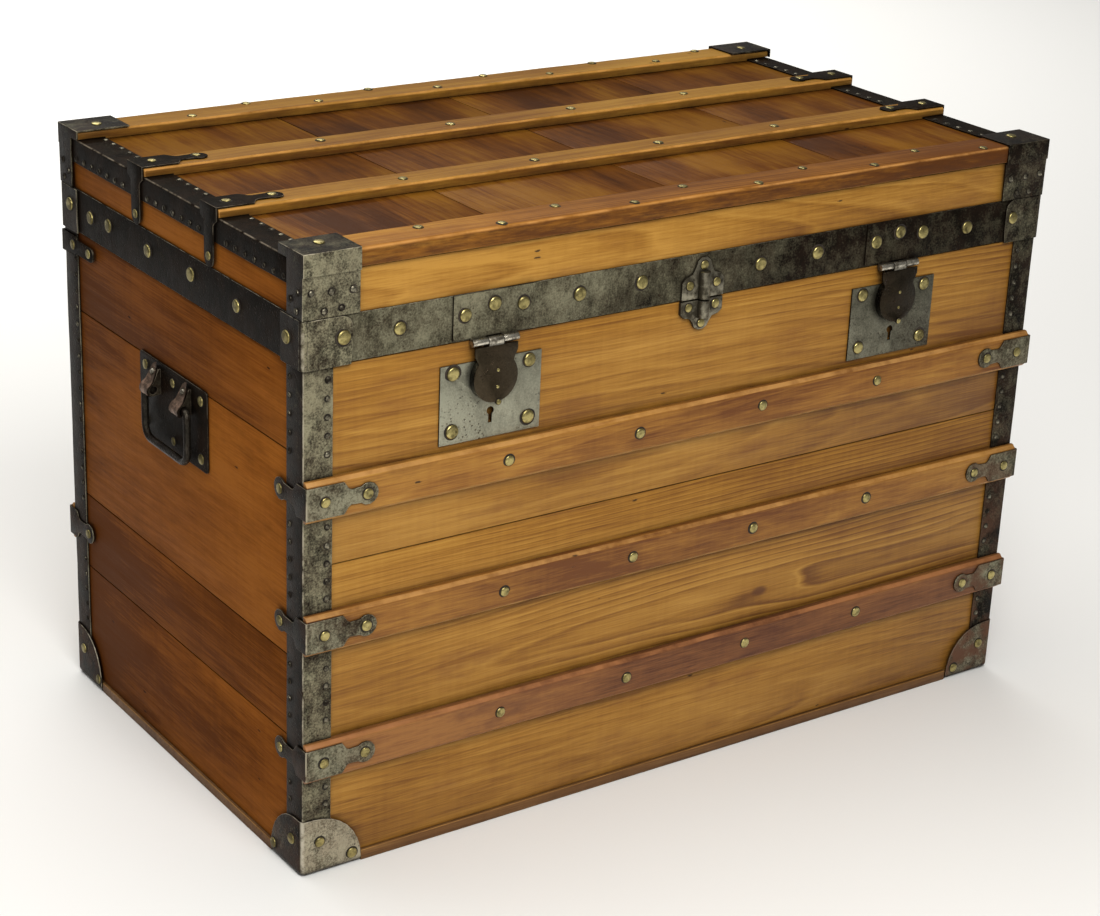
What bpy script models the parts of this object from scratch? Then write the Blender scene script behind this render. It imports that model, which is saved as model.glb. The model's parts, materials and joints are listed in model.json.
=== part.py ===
"""Steamer trunk: a slatted wooden box with a hinged lid, iron fittings, two hasp locks and end handles.

Units are metres. +X runs along the front to the right, +Y from the front to the back, +Z up.
The origin is the middle of the underside, on the surface that the trunk stands on.
"""
import math

import bmesh
import bpy
from mathutils import Matrix, Vector

# Overall size over the iron fittings, without the slats and locks that stand proud of the faces
WIDTH = 0.820
DEPTH = 0.465
HEIGHT = 0.569

# Materials' thicknesses, and the clearance between neighbouring pieces
GAP = 0.0003
IRON = 0.0015
LAYER = IRON + GAP
BOARD = 0.012
FINE_GAP = 0.0005

# How far a cutting tool reaches past the piece it cuts
OVERSHOOT = 0.01

LEFT = -WIDTH / 2
RIGHT = WIDTH / 2
FRONT = -DEPTH / 2
BACK = DEPTH / 2
WOOD_INSET = 2 * LAYER
WOOD_LEFT = LEFT + WOOD_INSET
WOOD_FRONT = FRONT + WOOD_INSET
INNER_LEFT = WOOD_LEFT + BOARD
INNER_FRONT = WOOD_FRONT + BOARD

# Heights, from the underside up
BASE_THICKNESS = 0.010
BASE_LEDGE = 0.0026
BODY_TOP = 0.4700
LID_BOTTOM = 0.4713
BAND_TOP = 0.5125
LID_FRAME_TOP = 0.5500
SLAT_TOP = HEIGHT - LAYER
SLAT_HEIGHT = 0.009
SLAT_SOFTENING = 0.002
LID_EDGE_RADIUS = 0.004
PANEL_TOP = SLAT_TOP - SLAT_HEIGHT - GAP
PANEL_THICKNESS = 0.0075
LIP_BOTTOM = 0.5513

# Iron angles along the corners and the lid's ends
FLANGE = 0.028
LID_SIDE_FLANGE_BOTTOM = 0.537
BEND_RADIUS = 0.002

# Slats on the front and back faces
FACE_SLAT_WIDTH = 0.037
FACE_SLAT_CHAMFER = 0.0035
FRONT_SLAT_HEIGHTS = {"upper": 0.356, "middle": 0.2345, "lower": 0.113}
BACK_SLAT_HEIGHT = 0.165
CLAMP_WIDTH = 0.029
CLAMP_TONGUE_WIDTH = 0.020
CLAMP_NECK_SHARE = 0.68
CLAMP_FULL_LENGTH = 0.036
CLAMP_LENGTH = 0.069
CLAMP_SIDE_LENGTH = 0.048

# Slats on the lid
LID_SLAT_WIDTH = 0.034
LID_EDGE_SLAT_WIDTH = 0.038
LID_SLAT_OFFSET = 0.0705
LID_CLAMP_TONGUE_WIDTH = 0.017
LIP_DEPTH = 0.008

# Corner caps
LID_CAP_WIDTH = 0.0535
LID_CAP_DEPTH = 0.040
LID_CAP_SIDE_DEPTH = 0.026
LID_CAP_BOTTOM = 0.513
BASE_CAP_WIDTH = 0.060
BASE_CAP_HEIGHT = 0.055
BASE_CAP_DEPTH = 0.056
BASE_CAP_FLAT = 0.012

# Hasp locks
LOCK_OFFSET = 0.2265
LOCK_PLATE_WIDTH = 0.102
LOCK_PLATE_BOTTOM = 0.380
LOCK_PLATE_TOP = 0.451
LOCK_CASE_WIDTH = 0.060
LOCK_CASE_BOTTOM = 0.386
LOCK_CASE_TOP = 0.448
LOCK_CASE_DEPTH = 0.0085
KEYHOLE_HEIGHT = 0.404
KEYHOLE_RADIUS = 0.0037
KEY_SLOT_HALF_WIDTH = 0.0018
KEY_SLOT_DROP = 0.011
STAPLE_SLOT_HALF_WIDTH = 0.007
STAPLE_SLOT_BOTTOM = 0.418
STAPLE_SLOT_TOP = 0.446
STAPLE_HALF_WIDTH = 0.0035
STAPLE_HEIGHT = 0.009
BOLT_HEIGHT = 0.411
BOLT_THICKNESS = 0.004
HASP_PLATE_WIDTH = 0.081
HASP_BARREL_WIDTH = 0.046
HASP_BARREL_RADIUS = 0.0035
HASP_AXIS_HEIGHT = 0.469
HASP_AXIS_Y = FRONT - 0.002
HASP_DISC_HEIGHT = 0.4360
HASP_DISC_RADIUS = 0.0222
HASP_THICKNESS = 0.0018
HASP_RIM = 0.0023
LIFT_LIP_RADIUS = 0.0028
LIFT_LIP_OFFSET = 0.003

# Alignment clasp in the middle of the front
CLASP_X = -0.005
CLASP_WIDTH = 0.0465
CLASP_BOTTOM = 0.4415
CLASP_TOP = 0.5095
CLASP_BOSS_RADIUS = 0.0055
DOWEL_RADIUS = 0.003

# End handles
HANDLE_Y = 0.006
HANDLE_HEIGHT = 0.357
HANDLE_PLATE_LENGTH = 0.133
HANDLE_PLATE_HEIGHT = 0.0765
BAIL_AXIS_HEIGHT = 0.370
BAIL_STANDOFF = 0.0075
BAIL_HALF_LENGTH = 0.042
BAIL_DROP = 0.049
BAIL_RADIUS = 0.0036
BAIL_BEND = 0.006
LUG_WIDTH = 0.012
LUG_RADIUS = 0.0058
LUG_HEIGHT = 0.019

# Hinges at the back corners
HINGE_AXIS_Y = BACK + 0.0028
HINGE_AXIS_Z = 0.4705
KNUCKLE_RADIUS = 0.004
PIN_RADIUS = 0.0016
PIN_BORE = 0.0020
HINGE_KNUCKLE_START = 0.036
HINGE_LENGTH = 0.100
HINGE_LEAF_BOTTOM = 0.446
HINGE_LEAF_TOP = 0.503

WOOD_FRONT_COLOUR = (0.44, 0.19, 0.055, 1.0)
WOOD_DARK_COLOUR = (0.25, 0.085, 0.025, 1.0)
WOOD_SLAT_COLOUR = (0.40, 0.16, 0.05, 1.0)
IRON_COLOUR = (0.11, 0.11, 0.10, 1.0)
BRIGHT_STEEL_COLOUR = (0.45, 0.44, 0.42, 1.0)
BRASS_COLOUR = (0.42, 0.34, 0.13, 1.0)


def clear_scene():
    for item in list(bpy.data.objects):
        bpy.data.objects.remove(item, do_unlink=True)


def make_material(name, colour, roughness, metallic):
    material = bpy.data.materials.new(name)
    material.use_nodes = True
    shader = material.node_tree.nodes["Principled BSDF"]
    shader.inputs["Base Color"].default_value = colour
    shader.inputs["Roughness"].default_value = roughness
    shader.inputs["Metallic"].default_value = metallic
    return material


# Building blocks ------------------------------------------------------------------------------


def object_from_bmesh(name, mesh_data):
    bmesh.ops.recalc_face_normals(mesh_data, faces=mesh_data.faces)
    mesh = bpy.data.meshes.new(name)
    mesh_data.to_mesh(mesh)
    mesh_data.free()
    piece = bpy.data.objects.new(name, mesh)
    bpy.context.scene.collection.objects.link(piece)
    return piece


def prism(name, outline, normal_axis, low, high):
    """A solid with a flat outline, drawn in the two other axes in X, Y, Z order, from low to high."""
    place = {
        "x": lambda a, b, depth: Vector((depth, a, b)),
        "y": lambda a, b, depth: Vector((a, depth, b)),
        "z": lambda a, b, depth: Vector((a, b, depth)),
    }[normal_axis]
    shape = bmesh.new()
    floor = [shape.verts.new(place(a, b, low)) for a, b in outline]
    face = shape.faces.new(floor)
    swept = bmesh.ops.extrude_face_region(shape, geom=[face])
    moved = [item for item in swept["geom"] if isinstance(item, bmesh.types.BMVert)]
    bmesh.ops.translate(shape, verts=moved, vec=place(0.0, 0.0, high) - place(0.0, 0.0, low))
    return object_from_bmesh(name, shape)


def block(name, low, high):
    outline = [(low[0], low[1]), (high[0], low[1]), (high[0], high[1]), (low[0], high[1])]
    return prism(name, outline, "z", low[2], high[2])


def arc(centre, radius, start_deg, end_deg, steps):
    """Points on an arc, both ends included."""
    points = []
    for step in range(steps + 1):
        angle = math.radians(start_deg + (end_deg - start_deg) * step / steps)
        points.append((centre[0] + radius * math.cos(angle), centre[1] + radius * math.sin(angle)))
    return points


def rod(name, radius, start, end, sides=16):
    """A round bar between two points."""
    start = Vector(start)
    end = Vector(end)
    shape = bmesh.new()
    turn = (end - start).to_track_quat("Z", "Y").to_matrix().to_4x4()
    place = Matrix.Translation((start + end) / 2) @ turn
    bmesh.ops.create_cone(
        shape, cap_ends=True, segments=sides, radius1=radius, radius2=radius,
        depth=(end - start).length, matrix=place,
    )
    return object_from_bmesh(name, shape)


def boolean(piece, tools, operation):
    """Apply a Boolean with each tool in turn, and remove the tools."""
    for tool in tools:
        modifier = piece.modifiers.new(operation.lower(), "BOOLEAN")
        modifier.operation = operation
        modifier.object = tool
        bpy.context.view_layer.update()
        graph = bpy.context.evaluated_depsgraph_get()
        result = bpy.data.meshes.new_from_object(piece.evaluated_get(graph))
        piece.modifiers.clear()
        piece.data = result
        bpy.data.objects.remove(tool, do_unlink=True)
    return piece


def fused(piece, *others):
    return boolean(piece, others, "UNION")


def cut(piece, *cutters):
    return boolean(piece, cutters, "DIFFERENCE")


def mirrored(piece, name, *axes):
    """A mirror image across the trunk's middle planes, under its own name."""
    mesh = piece.data.copy()
    scale = Vector((-1.0 if "x" in axes else 1.0, -1.0 if "y" in axes else 1.0, 1.0))
    mesh.transform(Matrix.Diagonal(scale.to_4d()))
    if len(axes) == 1:
        mesh.flip_normals()
    copy = bpy.data.objects.new(name, mesh)
    bpy.context.scene.collection.objects.link(copy)
    return copy


def shifted(piece, name, offset):
    mesh = piece.data.copy()
    mesh.transform(Matrix.Translation(offset))
    copy = bpy.data.objects.new(name, mesh)
    bpy.context.scene.collection.objects.link(copy)
    return copy


def finish(piece, material):
    """Give the piece its material and smooth shading with crisp edges."""
    piece.data.materials.clear()
    piece.data.materials.append(material)
    piece.data.shade_smooth()
    piece.data.set_sharp_from_angle(angle=math.radians(35))
    return piece


def four_corners(piece, base_name):
    """The piece is the front left one; its images go to the other three corners."""
    piece.name = base_name + "_front_left"
    return [
        piece,
        mirrored(piece, base_name + "_front_right", "x"),
        mirrored(piece, base_name + "_back_left", "y"),
        mirrored(piece, base_name + "_back_right", "x", "y"),
    ]


# Wooden carcass --------------------------------------------------------------------------------


def make_front_and_back_panels():
    floor = BASE_THICKNESS + GAP
    front = block("front_panel", (WOOD_LEFT, WOOD_FRONT, floor), (-WOOD_LEFT, INNER_FRONT, BODY_TOP))
    back = mirrored(front, "back_panel", "y")
    for side in (-1, 1):
        centre = side * LOCK_OFFSET
        half = LOCK_CASE_WIDTH / 2 + GAP
        pocket = block(
            "lock_pocket",
            (centre - half, WOOD_FRONT - OVERSHOOT, LOCK_CASE_BOTTOM - GAP),
            (centre + half, WOOD_FRONT + LOCK_CASE_DEPTH + GAP, LOCK_CASE_TOP + GAP),
        )
        cut(front, pocket)
    return [front, back]


def make_end_panels():
    floor = BASE_THICKNESS + GAP
    left = block(
        "left_end_panel",
        (WOOD_LEFT, INNER_FRONT + GAP, floor), (INNER_LEFT, -INNER_FRONT - GAP, BODY_TOP),
    )
    return [left, mirrored(left, "right_end_panel", "x")]


def make_bottom_panel():
    """The bottom board stands proud of the walls, except under the corner caps, which are let into it."""
    panel = block(
        "bottom_panel",
        (WOOD_LEFT - BASE_LEDGE, WOOD_FRONT - BASE_LEDGE, 0.0),
        (-WOOD_LEFT + BASE_LEDGE, -WOOD_FRONT + BASE_LEDGE, BASE_THICKNESS),
    )
    reach_x = BASE_CAP_WIDTH + FINE_GAP
    reach_y = BASE_CAP_DEPTH + FINE_GAP
    for side in (-1, 1):
        for end in (-1, 1):
            corner_x = sorted((side * (-LEFT + OVERSHOOT), side * (-LEFT - reach_x)))
            corner_y = sorted((end * (-FRONT + OVERSHOOT), end * (-FRONT - reach_y)))
            rebate = block(
                "rebate", (corner_x[0], corner_y[0], -OVERSHOOT), (corner_x[1], corner_y[1], LAYER),
            )
            outer_x = sorted((side * (-LEFT + OVERSHOOT), -side * WOOD_LEFT))
            outer_y = sorted((end * (-FRONT + OVERSHOOT), -end * WOOD_FRONT))
            above = BASE_THICKNESS + OVERSHOOT
            side_relief = block(
                "side_relief",
                (outer_x[0], corner_y[0], -OVERSHOOT), (outer_x[1], corner_y[1], above),
            )
            front_relief = block(
                "front_relief",
                (corner_x[0], outer_y[0], -OVERSHOOT), (corner_x[1], outer_y[1], above),
            )
            cut(panel, rebate, side_relief, front_relief)
    return [panel]


def make_lid_frame():
    frame = block(
        "lid_frame", (WOOD_LEFT, WOOD_FRONT, LID_BOTTOM), (-WOOD_LEFT, -WOOD_FRONT, LID_FRAME_TOP),
    )
    hollow = block(
        "hollow", (INNER_LEFT, INNER_FRONT, LID_BOTTOM - OVERSHOOT),
        (-INNER_LEFT, -INNER_FRONT, LID_FRAME_TOP + OVERSHOOT),
    )
    return [cut(frame, hollow)]


def make_lid_top_panel():
    front_edge = FRONT + LIP_DEPTH + GAP
    return [
        block(
            "lid_top_panel",
            (WOOD_LEFT, front_edge, PANEL_TOP - PANEL_THICKNESS), (-WOOD_LEFT, -front_edge, PANEL_TOP),
        )
    ]


# Slats -----------------------------------------------------------------------------------------


def make_front_slats():
    """Chamfered battens that pass over the corner angles, so their ends are thinned behind."""
    half = FACE_SLAT_WIDTH / 2
    rear = WOOD_FRONT - GAP
    face = WOOD_FRONT - SLAT_HEIGHT
    slats = []
    for position, height in FRONT_SLAT_HEIGHTS.items():
        outline = [
            (rear, height - half),
            (face + FACE_SLAT_CHAMFER, height - half),
            (face, height - half + FACE_SLAT_CHAMFER),
            (face, height + half - FACE_SLAT_CHAMFER),
            (face + FACE_SLAT_CHAMFER, height + half),
            (rear, height + half),
        ]
        slat = prism("front_slat_" + position, outline, "x", LEFT + LAYER, RIGHT - LAYER)
        for side in (-1, 1):
            reach = sorted((side * (RIGHT + OVERSHOOT), side * (RIGHT - LAYER - FLANGE - FINE_GAP)))
            relief = block(
                "relief",
                (reach[0], rear - LAYER, height - half - OVERSHOOT),
                (reach[1], rear + OVERSHOOT, height + half + OVERSHOOT),
            )
            cut(slat, relief)
        slats.append(slat)
    return slats


def make_back_slat(front_slat):
    drop = BACK_SLAT_HEIGHT - FRONT_SLAT_HEIGHTS["upper"]
    lowered = shifted(front_slat, "lowered_slat", (0.0, 0.0, drop))
    back_slat = mirrored(lowered, "back_slat", "y")
    bpy.data.objects.remove(lowered, do_unlink=True)
    return back_slat


def make_lid_slats():
    """Four slats along the lid; the outer two also cap the edges of the top panel with a lip."""
    floor = PANEL_TOP + GAP
    half = LID_SLAT_WIDTH / 2
    soften = SLAT_SOFTENING
    middle_outline = [
        (-LID_SLAT_OFFSET - half, floor),
        (-LID_SLAT_OFFSET + half, floor),
        (-LID_SLAT_OFFSET + half, SLAT_TOP - soften),
        (-LID_SLAT_OFFSET + half - soften, SLAT_TOP),
        (-LID_SLAT_OFFSET - half + soften, SLAT_TOP),
        (-LID_SLAT_OFFSET - half, SLAT_TOP - soften),
    ]
    inner_edge = FRONT + LID_EDGE_SLAT_WIDTH
    edge_outline = [
        (FRONT, LIP_BOTTOM),
        (FRONT + LIP_DEPTH, LIP_BOTTOM),
        (FRONT + LIP_DEPTH, floor),
        (inner_edge, floor),
        (inner_edge, SLAT_TOP - soften),
        (inner_edge - soften, SLAT_TOP),
        *arc((FRONT + LID_EDGE_RADIUS, SLAT_TOP - LID_EDGE_RADIUS), LID_EDGE_RADIUS, 90, 180, 3),
    ]
    middle = prism("lid_slat_middle_front", middle_outline, "x", LEFT + LAYER, RIGHT - LAYER)
    edge = prism("lid_slat_front", edge_outline, "x", LEFT + LAYER, RIGHT - LAYER)
    reach_y = FRONT + LIP_DEPTH + 0.004
    for side in (-1, 1):
        reach = sorted((side * (RIGHT + OVERSHOOT), side * (RIGHT - LAYER - FLANGE - FINE_GAP)))
        for slat, rear_edge in ((middle, 0.0), (edge, FRONT + 0.06)):
            relief = block(
                "relief", (reach[0], reach_y, floor - 0.001), (reach[1], rear_edge, floor + LAYER),
            )
            cut(slat, relief)
    return [
        edge,
        middle,
        mirrored(middle, "lid_slat_middle_back", "y"),
        mirrored(edge, "lid_slat_back", "y"),
    ]


# Iron angles and band --------------------------------------------------------------------------


def angle_outline(corner_a, corner_b, flange_a, flange_b):
    """An L section with a rounded outer bend; flange lengths may be negative to turn the L round."""
    sign_a = math.copysign(1.0, flange_a)
    sign_b = math.copysign(1.0, flange_b)
    bend = []
    for angle in (0, 30, 60, 90):
        turn = math.radians(angle)
        bend.append((
            corner_a + sign_a * BEND_RADIUS * (1 - math.sin(turn)),
            corner_b + sign_b * BEND_RADIUS * (1 - math.cos(turn)),
        ))
    return [
        (corner_a + flange_a, corner_b),
        *bend,
        (corner_a, corner_b + flange_b),
        (corner_a + sign_a * IRON, corner_b + flange_b),
        (corner_a + sign_a * IRON, corner_b + sign_b * IRON),
        (corner_a + flange_a, corner_b + sign_b * IRON),
    ]


def make_corner_bindings():
    outline = angle_outline(LEFT + LAYER, FRONT + LAYER, FLANGE, FLANGE)
    binding = prism("corner_binding", outline, "z", LAYER + GAP, BODY_TOP)
    return four_corners(binding, "corner_binding")


def make_lid_end_bindings():
    """Iron angles along the lid's ends; the top flange stops short of the corner caps' top plates."""
    corner_z = PANEL_TOP + LAYER
    outline = angle_outline(LEFT + LAYER, corner_z, FLANGE, LID_SIDE_FLANGE_BOTTOM - corner_z)
    half_length = -FRONT - LID_CAP_SIDE_DEPTH - FINE_GAP
    left = prism("lid_end_binding_left", outline, "y", -half_length, half_length)
    return [left, mirrored(left, "lid_end_binding_right", "x")]


def make_lid_band():
    def ring_outline(inset, radius):
        x = -LEFT - inset
        y = -FRONT - inset
        points = []
        for sign_x, sign_y, start in ((1, 1, 0), (-1, 1, 90), (-1, -1, 180), (1, -1, 270)):
            centre = (sign_x * (x - radius), sign_y * (y - radius))
            points += arc(centre, radius, start, start + 90, 3)
        return points

    band = prism("lid_band", ring_outline(LAYER, BEND_RADIUS), "z", LID_BOTTOM, BAND_TOP)
    inside = LAYER + IRON
    hollow = block(
        "hollow", (LEFT + inside, FRONT + inside, LID_BOTTOM - OVERSHOOT),
        (-LEFT - inside, -FRONT - inside, BAND_TOP + OVERSHOOT),
    )
    return [cut(band, hollow)]


# Caps and clamps -------------------------------------------------------------------------------


def quarter_outline(origin, width, height, flat):
    """A quarter-round plate: straight along both axes from the corner, rounded on the far side."""
    points = [(origin[0], origin[1]), (origin[0] + width, origin[1])]
    for step in range(9):
        angle = math.radians(90 * step / 8)
        points.append((
            origin[0] + flat + (width - flat) * math.cos(angle),
            origin[1] + flat / 2 + (height - flat / 2) * math.sin(angle),
        ))
    points.append((origin[0], origin[1] + height))
    return points


def make_base_caps():
    """Three quarter-round plates that meet at the corner of the base."""
    front_outline = quarter_outline((LEFT, 0.0), BASE_CAP_WIDTH, BASE_CAP_HEIGHT, BASE_CAP_FLAT)
    side_outline = quarter_outline((FRONT, 0.0), BASE_CAP_DEPTH, BASE_CAP_HEIGHT, BASE_CAP_FLAT)
    under_outline = quarter_outline((LEFT, FRONT), BASE_CAP_WIDTH, BASE_CAP_DEPTH, BASE_CAP_FLAT)
    front = prism("base_cap", front_outline, "y", FRONT, FRONT + IRON)
    side = prism("side_plate", side_outline, "x", LEFT, LEFT + IRON)
    under = prism("under_plate", under_outline, "z", 0.0, IRON)
    return four_corners(fused(front, side, under), "base_corner_cap")


def make_lid_caps():
    """Front, side and top plates; the front plate steps out over the lip of the edge slat."""
    lip_front = FRONT - LAYER
    cap = block(
        "lid_cap", (LEFT, FRONT, LID_CAP_BOTTOM), (LEFT + LID_CAP_WIDTH, FRONT + IRON, LIP_BOTTOM - GAP),
    )
    step = block(
        "step", (LEFT, lip_front, LIP_BOTTOM - GAP - IRON),
        (LEFT + LID_CAP_WIDTH, FRONT + IRON, LIP_BOTTOM - GAP),
    )
    lip = block(
        "lip", (LEFT, lip_front, LIP_BOTTOM - GAP - IRON),
        (LEFT + LID_CAP_WIDTH, lip_front + IRON, HEIGHT),
    )
    top = block(
        "top", (LEFT, lip_front, HEIGHT - IRON),
        (LEFT + LID_CAP_WIDTH, FRONT + LID_CAP_DEPTH, HEIGHT),
    )
    side_outline = [
        (FRONT, LID_CAP_BOTTOM),
        (FRONT + LID_CAP_SIDE_DEPTH, LID_CAP_BOTTOM),
        (FRONT + LID_CAP_SIDE_DEPTH, PANEL_TOP + LAYER + GAP),
        (FRONT + LID_CAP_DEPTH, PANEL_TOP + LAYER + GAP),
        (FRONT + LID_CAP_DEPTH, HEIGHT),
        (lip_front, HEIGHT),
        (lip_front, LIP_BOTTOM - GAP - IRON),
        (FRONT, LIP_BOTTOM - GAP - IRON),
    ]
    side = prism("side", side_outline, "x", LEFT, LEFT + IRON)
    return four_corners(fused(cap, step, lip, top, side), "lid_corner_cap")


def tongue_outline(start, full_end, tip, centre, full_width, tongue_width, neck_share=1.0):
    """A strap that narrows through a shoulder and a neck to a round head, along the first axis."""
    half = full_width / 2
    head = tongue_width / 2
    neck = head * neck_share
    direction = math.copysign(1.0, tip - start)
    shoulder = (half - neck) * 0.9
    upper = [
        (start, half),
        (full_end, half),
        (full_end + direction * shoulder * 0.25, neck + (half - neck) * 0.70),
        (full_end + direction * shoulder * 0.60, neck + (half - neck) * 0.22),
        (full_end + direction * shoulder, neck),
    ]
    head_centre = tip - direction * head
    spread = 90 + math.degrees(math.acos(neck_share)) * 0.9
    turns = [spread * (1 - step / 5) for step in range(11)]
    turn = [
        (head_centre + direction * head * math.cos(math.radians(angle)),
         head * math.sin(math.radians(angle)))
        for angle in turns
    ]
    lower = [(a, -b) for a, b in reversed(upper)]
    return [(a, centre + b) for a, b in upper + turn + lower]


def make_front_slat_clamps():
    """A clamp covers a slat's end, folds round the corner and ends in a tongue on the end wall."""
    face = WOOD_FRONT - SLAT_HEIGHT - GAP - IRON
    height = FRONT_SLAT_HEIGHTS["upper"]
    front = prism(
        "clamp",
        tongue_outline(
            LEFT, LEFT + CLAMP_FULL_LENGTH, LEFT + CLAMP_LENGTH, height, CLAMP_WIDTH, CLAMP_TONGUE_WIDTH,
            CLAMP_NECK_SHARE,
        ),
        "y", face, face + IRON,
    )
    side = prism(
        "clamp_side",
        tongue_outline(
            face, FRONT + 0.010, FRONT + CLAMP_SIDE_LENGTH, height, CLAMP_WIDTH, CLAMP_TONGUE_WIDTH,
            CLAMP_NECK_SHARE,
        ),
        "x", LEFT, LEFT + IRON,
    )
    first = fused(front, side)
    first.name = "slat_clamp_upper_left"
    clamps = [first]
    for position in ("middle", "lower"):
        drop = FRONT_SLAT_HEIGHTS[position] - height
        clamps.append(shifted(first, "slat_clamp_" + position + "_left", (0.0, 0.0, drop)))
    lefts = list(clamps)
    for clamp in lefts:
        clamps.append(mirrored(clamp, clamp.name.replace("_left", "_right"), "x"))
    lowered = shifted(first, "lowered_clamp", (0.0, 0.0, BACK_SLAT_HEIGHT - height))
    clamps.append(mirrored(lowered, "slat_clamp_back_left", "y"))
    clamps.append(mirrored(lowered, "slat_clamp_back_right", "x", "y"))
    bpy.data.objects.remove(lowered, do_unlink=True)
    return clamps


def make_lid_slat_clamps():
    """Like the other clamps, with a long strap down the lid's end to the band."""
    top = prism(
        "lid_clamp",
        tongue_outline(
            LEFT, LEFT + CLAMP_FULL_LENGTH, LEFT + CLAMP_LENGTH + 0.002, -LID_SLAT_OFFSET,
            LID_SLAT_WIDTH - 0.004, LID_CLAMP_TONGUE_WIDTH, CLAMP_NECK_SHARE,
        ),
        "z", HEIGHT - IRON, HEIGHT,
    )
    down = tongue_outline(
        HEIGHT, HEIGHT - 0.012, BAND_TOP + FINE_GAP, -LID_SLAT_OFFSET,
        LID_SLAT_WIDTH - 0.004, LID_CLAMP_TONGUE_WIDTH,
    )
    strap = prism("lid_strap", [(b, a) for a, b in down], "x", LEFT, LEFT + IRON)
    clamp = fused(top, strap)
    clamp.name = "lid_slat_clamp_front_left"
    return [
        clamp,
        mirrored(clamp, "lid_slat_clamp_front_right", "x"),
        mirrored(clamp, "lid_slat_clamp_back_left", "y"),
        mirrored(clamp, "lid_slat_clamp_back_right", "x", "y"),
    ]


# Hasp locks ------------------------------------------------------------------------------------


def make_lock():
    """Plate and case in one: the case is let into the front wall, with a keyhole and a staple slot."""
    centre = -LOCK_OFFSET
    plate_front = FRONT + LAYER
    plate_back = plate_front + IRON
    half = LOCK_PLATE_WIDTH / 2
    lock = block(
        "lock_left", (centre - half, plate_front, LOCK_PLATE_BOTTOM),
        (centre + half, plate_back, LOCK_PLATE_TOP),
    )
    case_half = LOCK_CASE_WIDTH / 2
    case = block(
        "case", (centre - case_half, plate_front + 0.0005, LOCK_CASE_BOTTOM),
        (centre + case_half, WOOD_FRONT + LOCK_CASE_DEPTH, LOCK_CASE_TOP),
    )
    chamber = block(
        "chamber", (centre - case_half + IRON, plate_back, LOCK_CASE_BOTTOM + IRON),
        (centre + case_half - IRON, WOOD_FRONT + LOCK_CASE_DEPTH - IRON, LOCK_CASE_TOP - IRON),
    )
    keyhole = rod(
        "keyhole", KEYHOLE_RADIUS, (centre, plate_front - OVERSHOOT, KEYHOLE_HEIGHT),
        (centre, plate_back + 0.001, KEYHOLE_HEIGHT), 12,
    )
    key_slot = block(
        "key_slot",
        (centre - KEY_SLOT_HALF_WIDTH, plate_front - OVERSHOOT, KEYHOLE_HEIGHT - KEY_SLOT_DROP),
        (centre + KEY_SLOT_HALF_WIDTH, plate_back + 0.001, KEYHOLE_HEIGHT),
    )
    staple_slot = block(
        "staple_slot",
        (centre - STAPLE_SLOT_HALF_WIDTH, plate_front - OVERSHOOT, STAPLE_SLOT_BOTTOM),
        (centre + STAPLE_SLOT_HALF_WIDTH, plate_back + 0.001, STAPLE_SLOT_TOP),
    )
    return cut(fused(lock, case), chamber, keyhole, key_slot, staple_slot)


def make_lock_bolt():
    """The bolt lies in the case beside the staple slot and slides under the staple."""
    centre = -LOCK_OFFSET
    depth = FRONT + LAYER + IRON + 0.0008
    bolt = block(
        "lock_bolt_left", (centre + 0.008, depth, BOLT_HEIGHT + 0.009),
        (centre + 0.020, depth + BOLT_THICKNESS, BOLT_HEIGHT + 0.017),
    )
    tail = block(
        "tail", (centre + 0.010, depth, BOLT_HEIGHT - 0.006),
        (centre + 0.015, depth + BOLT_THICKNESS, BOLT_HEIGHT + 0.010),
    )
    return fused(bolt, tail)


def make_hasp_plate():
    """Nailed over the band; its lower edge is rolled into the two outer knuckles, with the pin."""
    centre = -LOCK_OFFSET
    half = HASP_PLATE_WIDTH / 2
    plate = block(
        "hasp_plate_left", (centre - half, FRONT, LID_BOTTOM + 0.002),
        (centre + half, FRONT + IRON, BAND_TOP),
    )
    barrel_half = HASP_BARREL_WIDTH / 2
    for side in (-1, 1):
        span = sorted((centre + side * barrel_half, centre + side * (barrel_half / 3 + 0.0004)))
        knuckle = rod(
            "knuckle", HASP_BARREL_RADIUS,
            (span[0], HASP_AXIS_Y, HASP_AXIS_HEIGHT), (span[1], HASP_AXIS_Y, HASP_AXIS_HEIGHT),
        )
        neck = block(
            "neck", (span[0], FRONT, HASP_AXIS_HEIGHT), (span[1], FRONT + 0.0012, LID_BOTTOM + 0.004),
        )
        fused(plate, knuckle, neck)
    pin = rod(
        "pin", PIN_RADIUS - 0.0002,
        (centre - barrel_half + 0.001, HASP_AXIS_Y, HASP_AXIS_HEIGHT),
        (centre + barrel_half - 0.001, HASP_AXIS_Y, HASP_AXIS_HEIGHT), 12,
    )
    return fused(plate, pin)


def hasp_outline(centre):
    """Square shoulders under the barrel, a waist, and a round disc below."""
    half = HASP_BARREL_WIDTH / 2 - 0.0015
    waist = HASP_BARREL_WIDTH / 2 - 0.0053
    neck_top = HASP_AXIS_HEIGHT - HASP_BARREL_RADIUS - FINE_GAP
    right = [
        (half, neck_top),
        (half, neck_top - 0.0060),
        (half - 0.0010, neck_top - 0.0085),
        (waist + 0.0008, neck_top - 0.0125),
        (waist, neck_top - 0.0155),
    ]
    disc = arc((0.0, HASP_DISC_HEIGHT), HASP_DISC_RADIUS, 36, -216, 20)
    left = [(-a, b) for a, b in reversed(right)]
    return [(centre + a, b) for a, b in right + disc + left]


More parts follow.
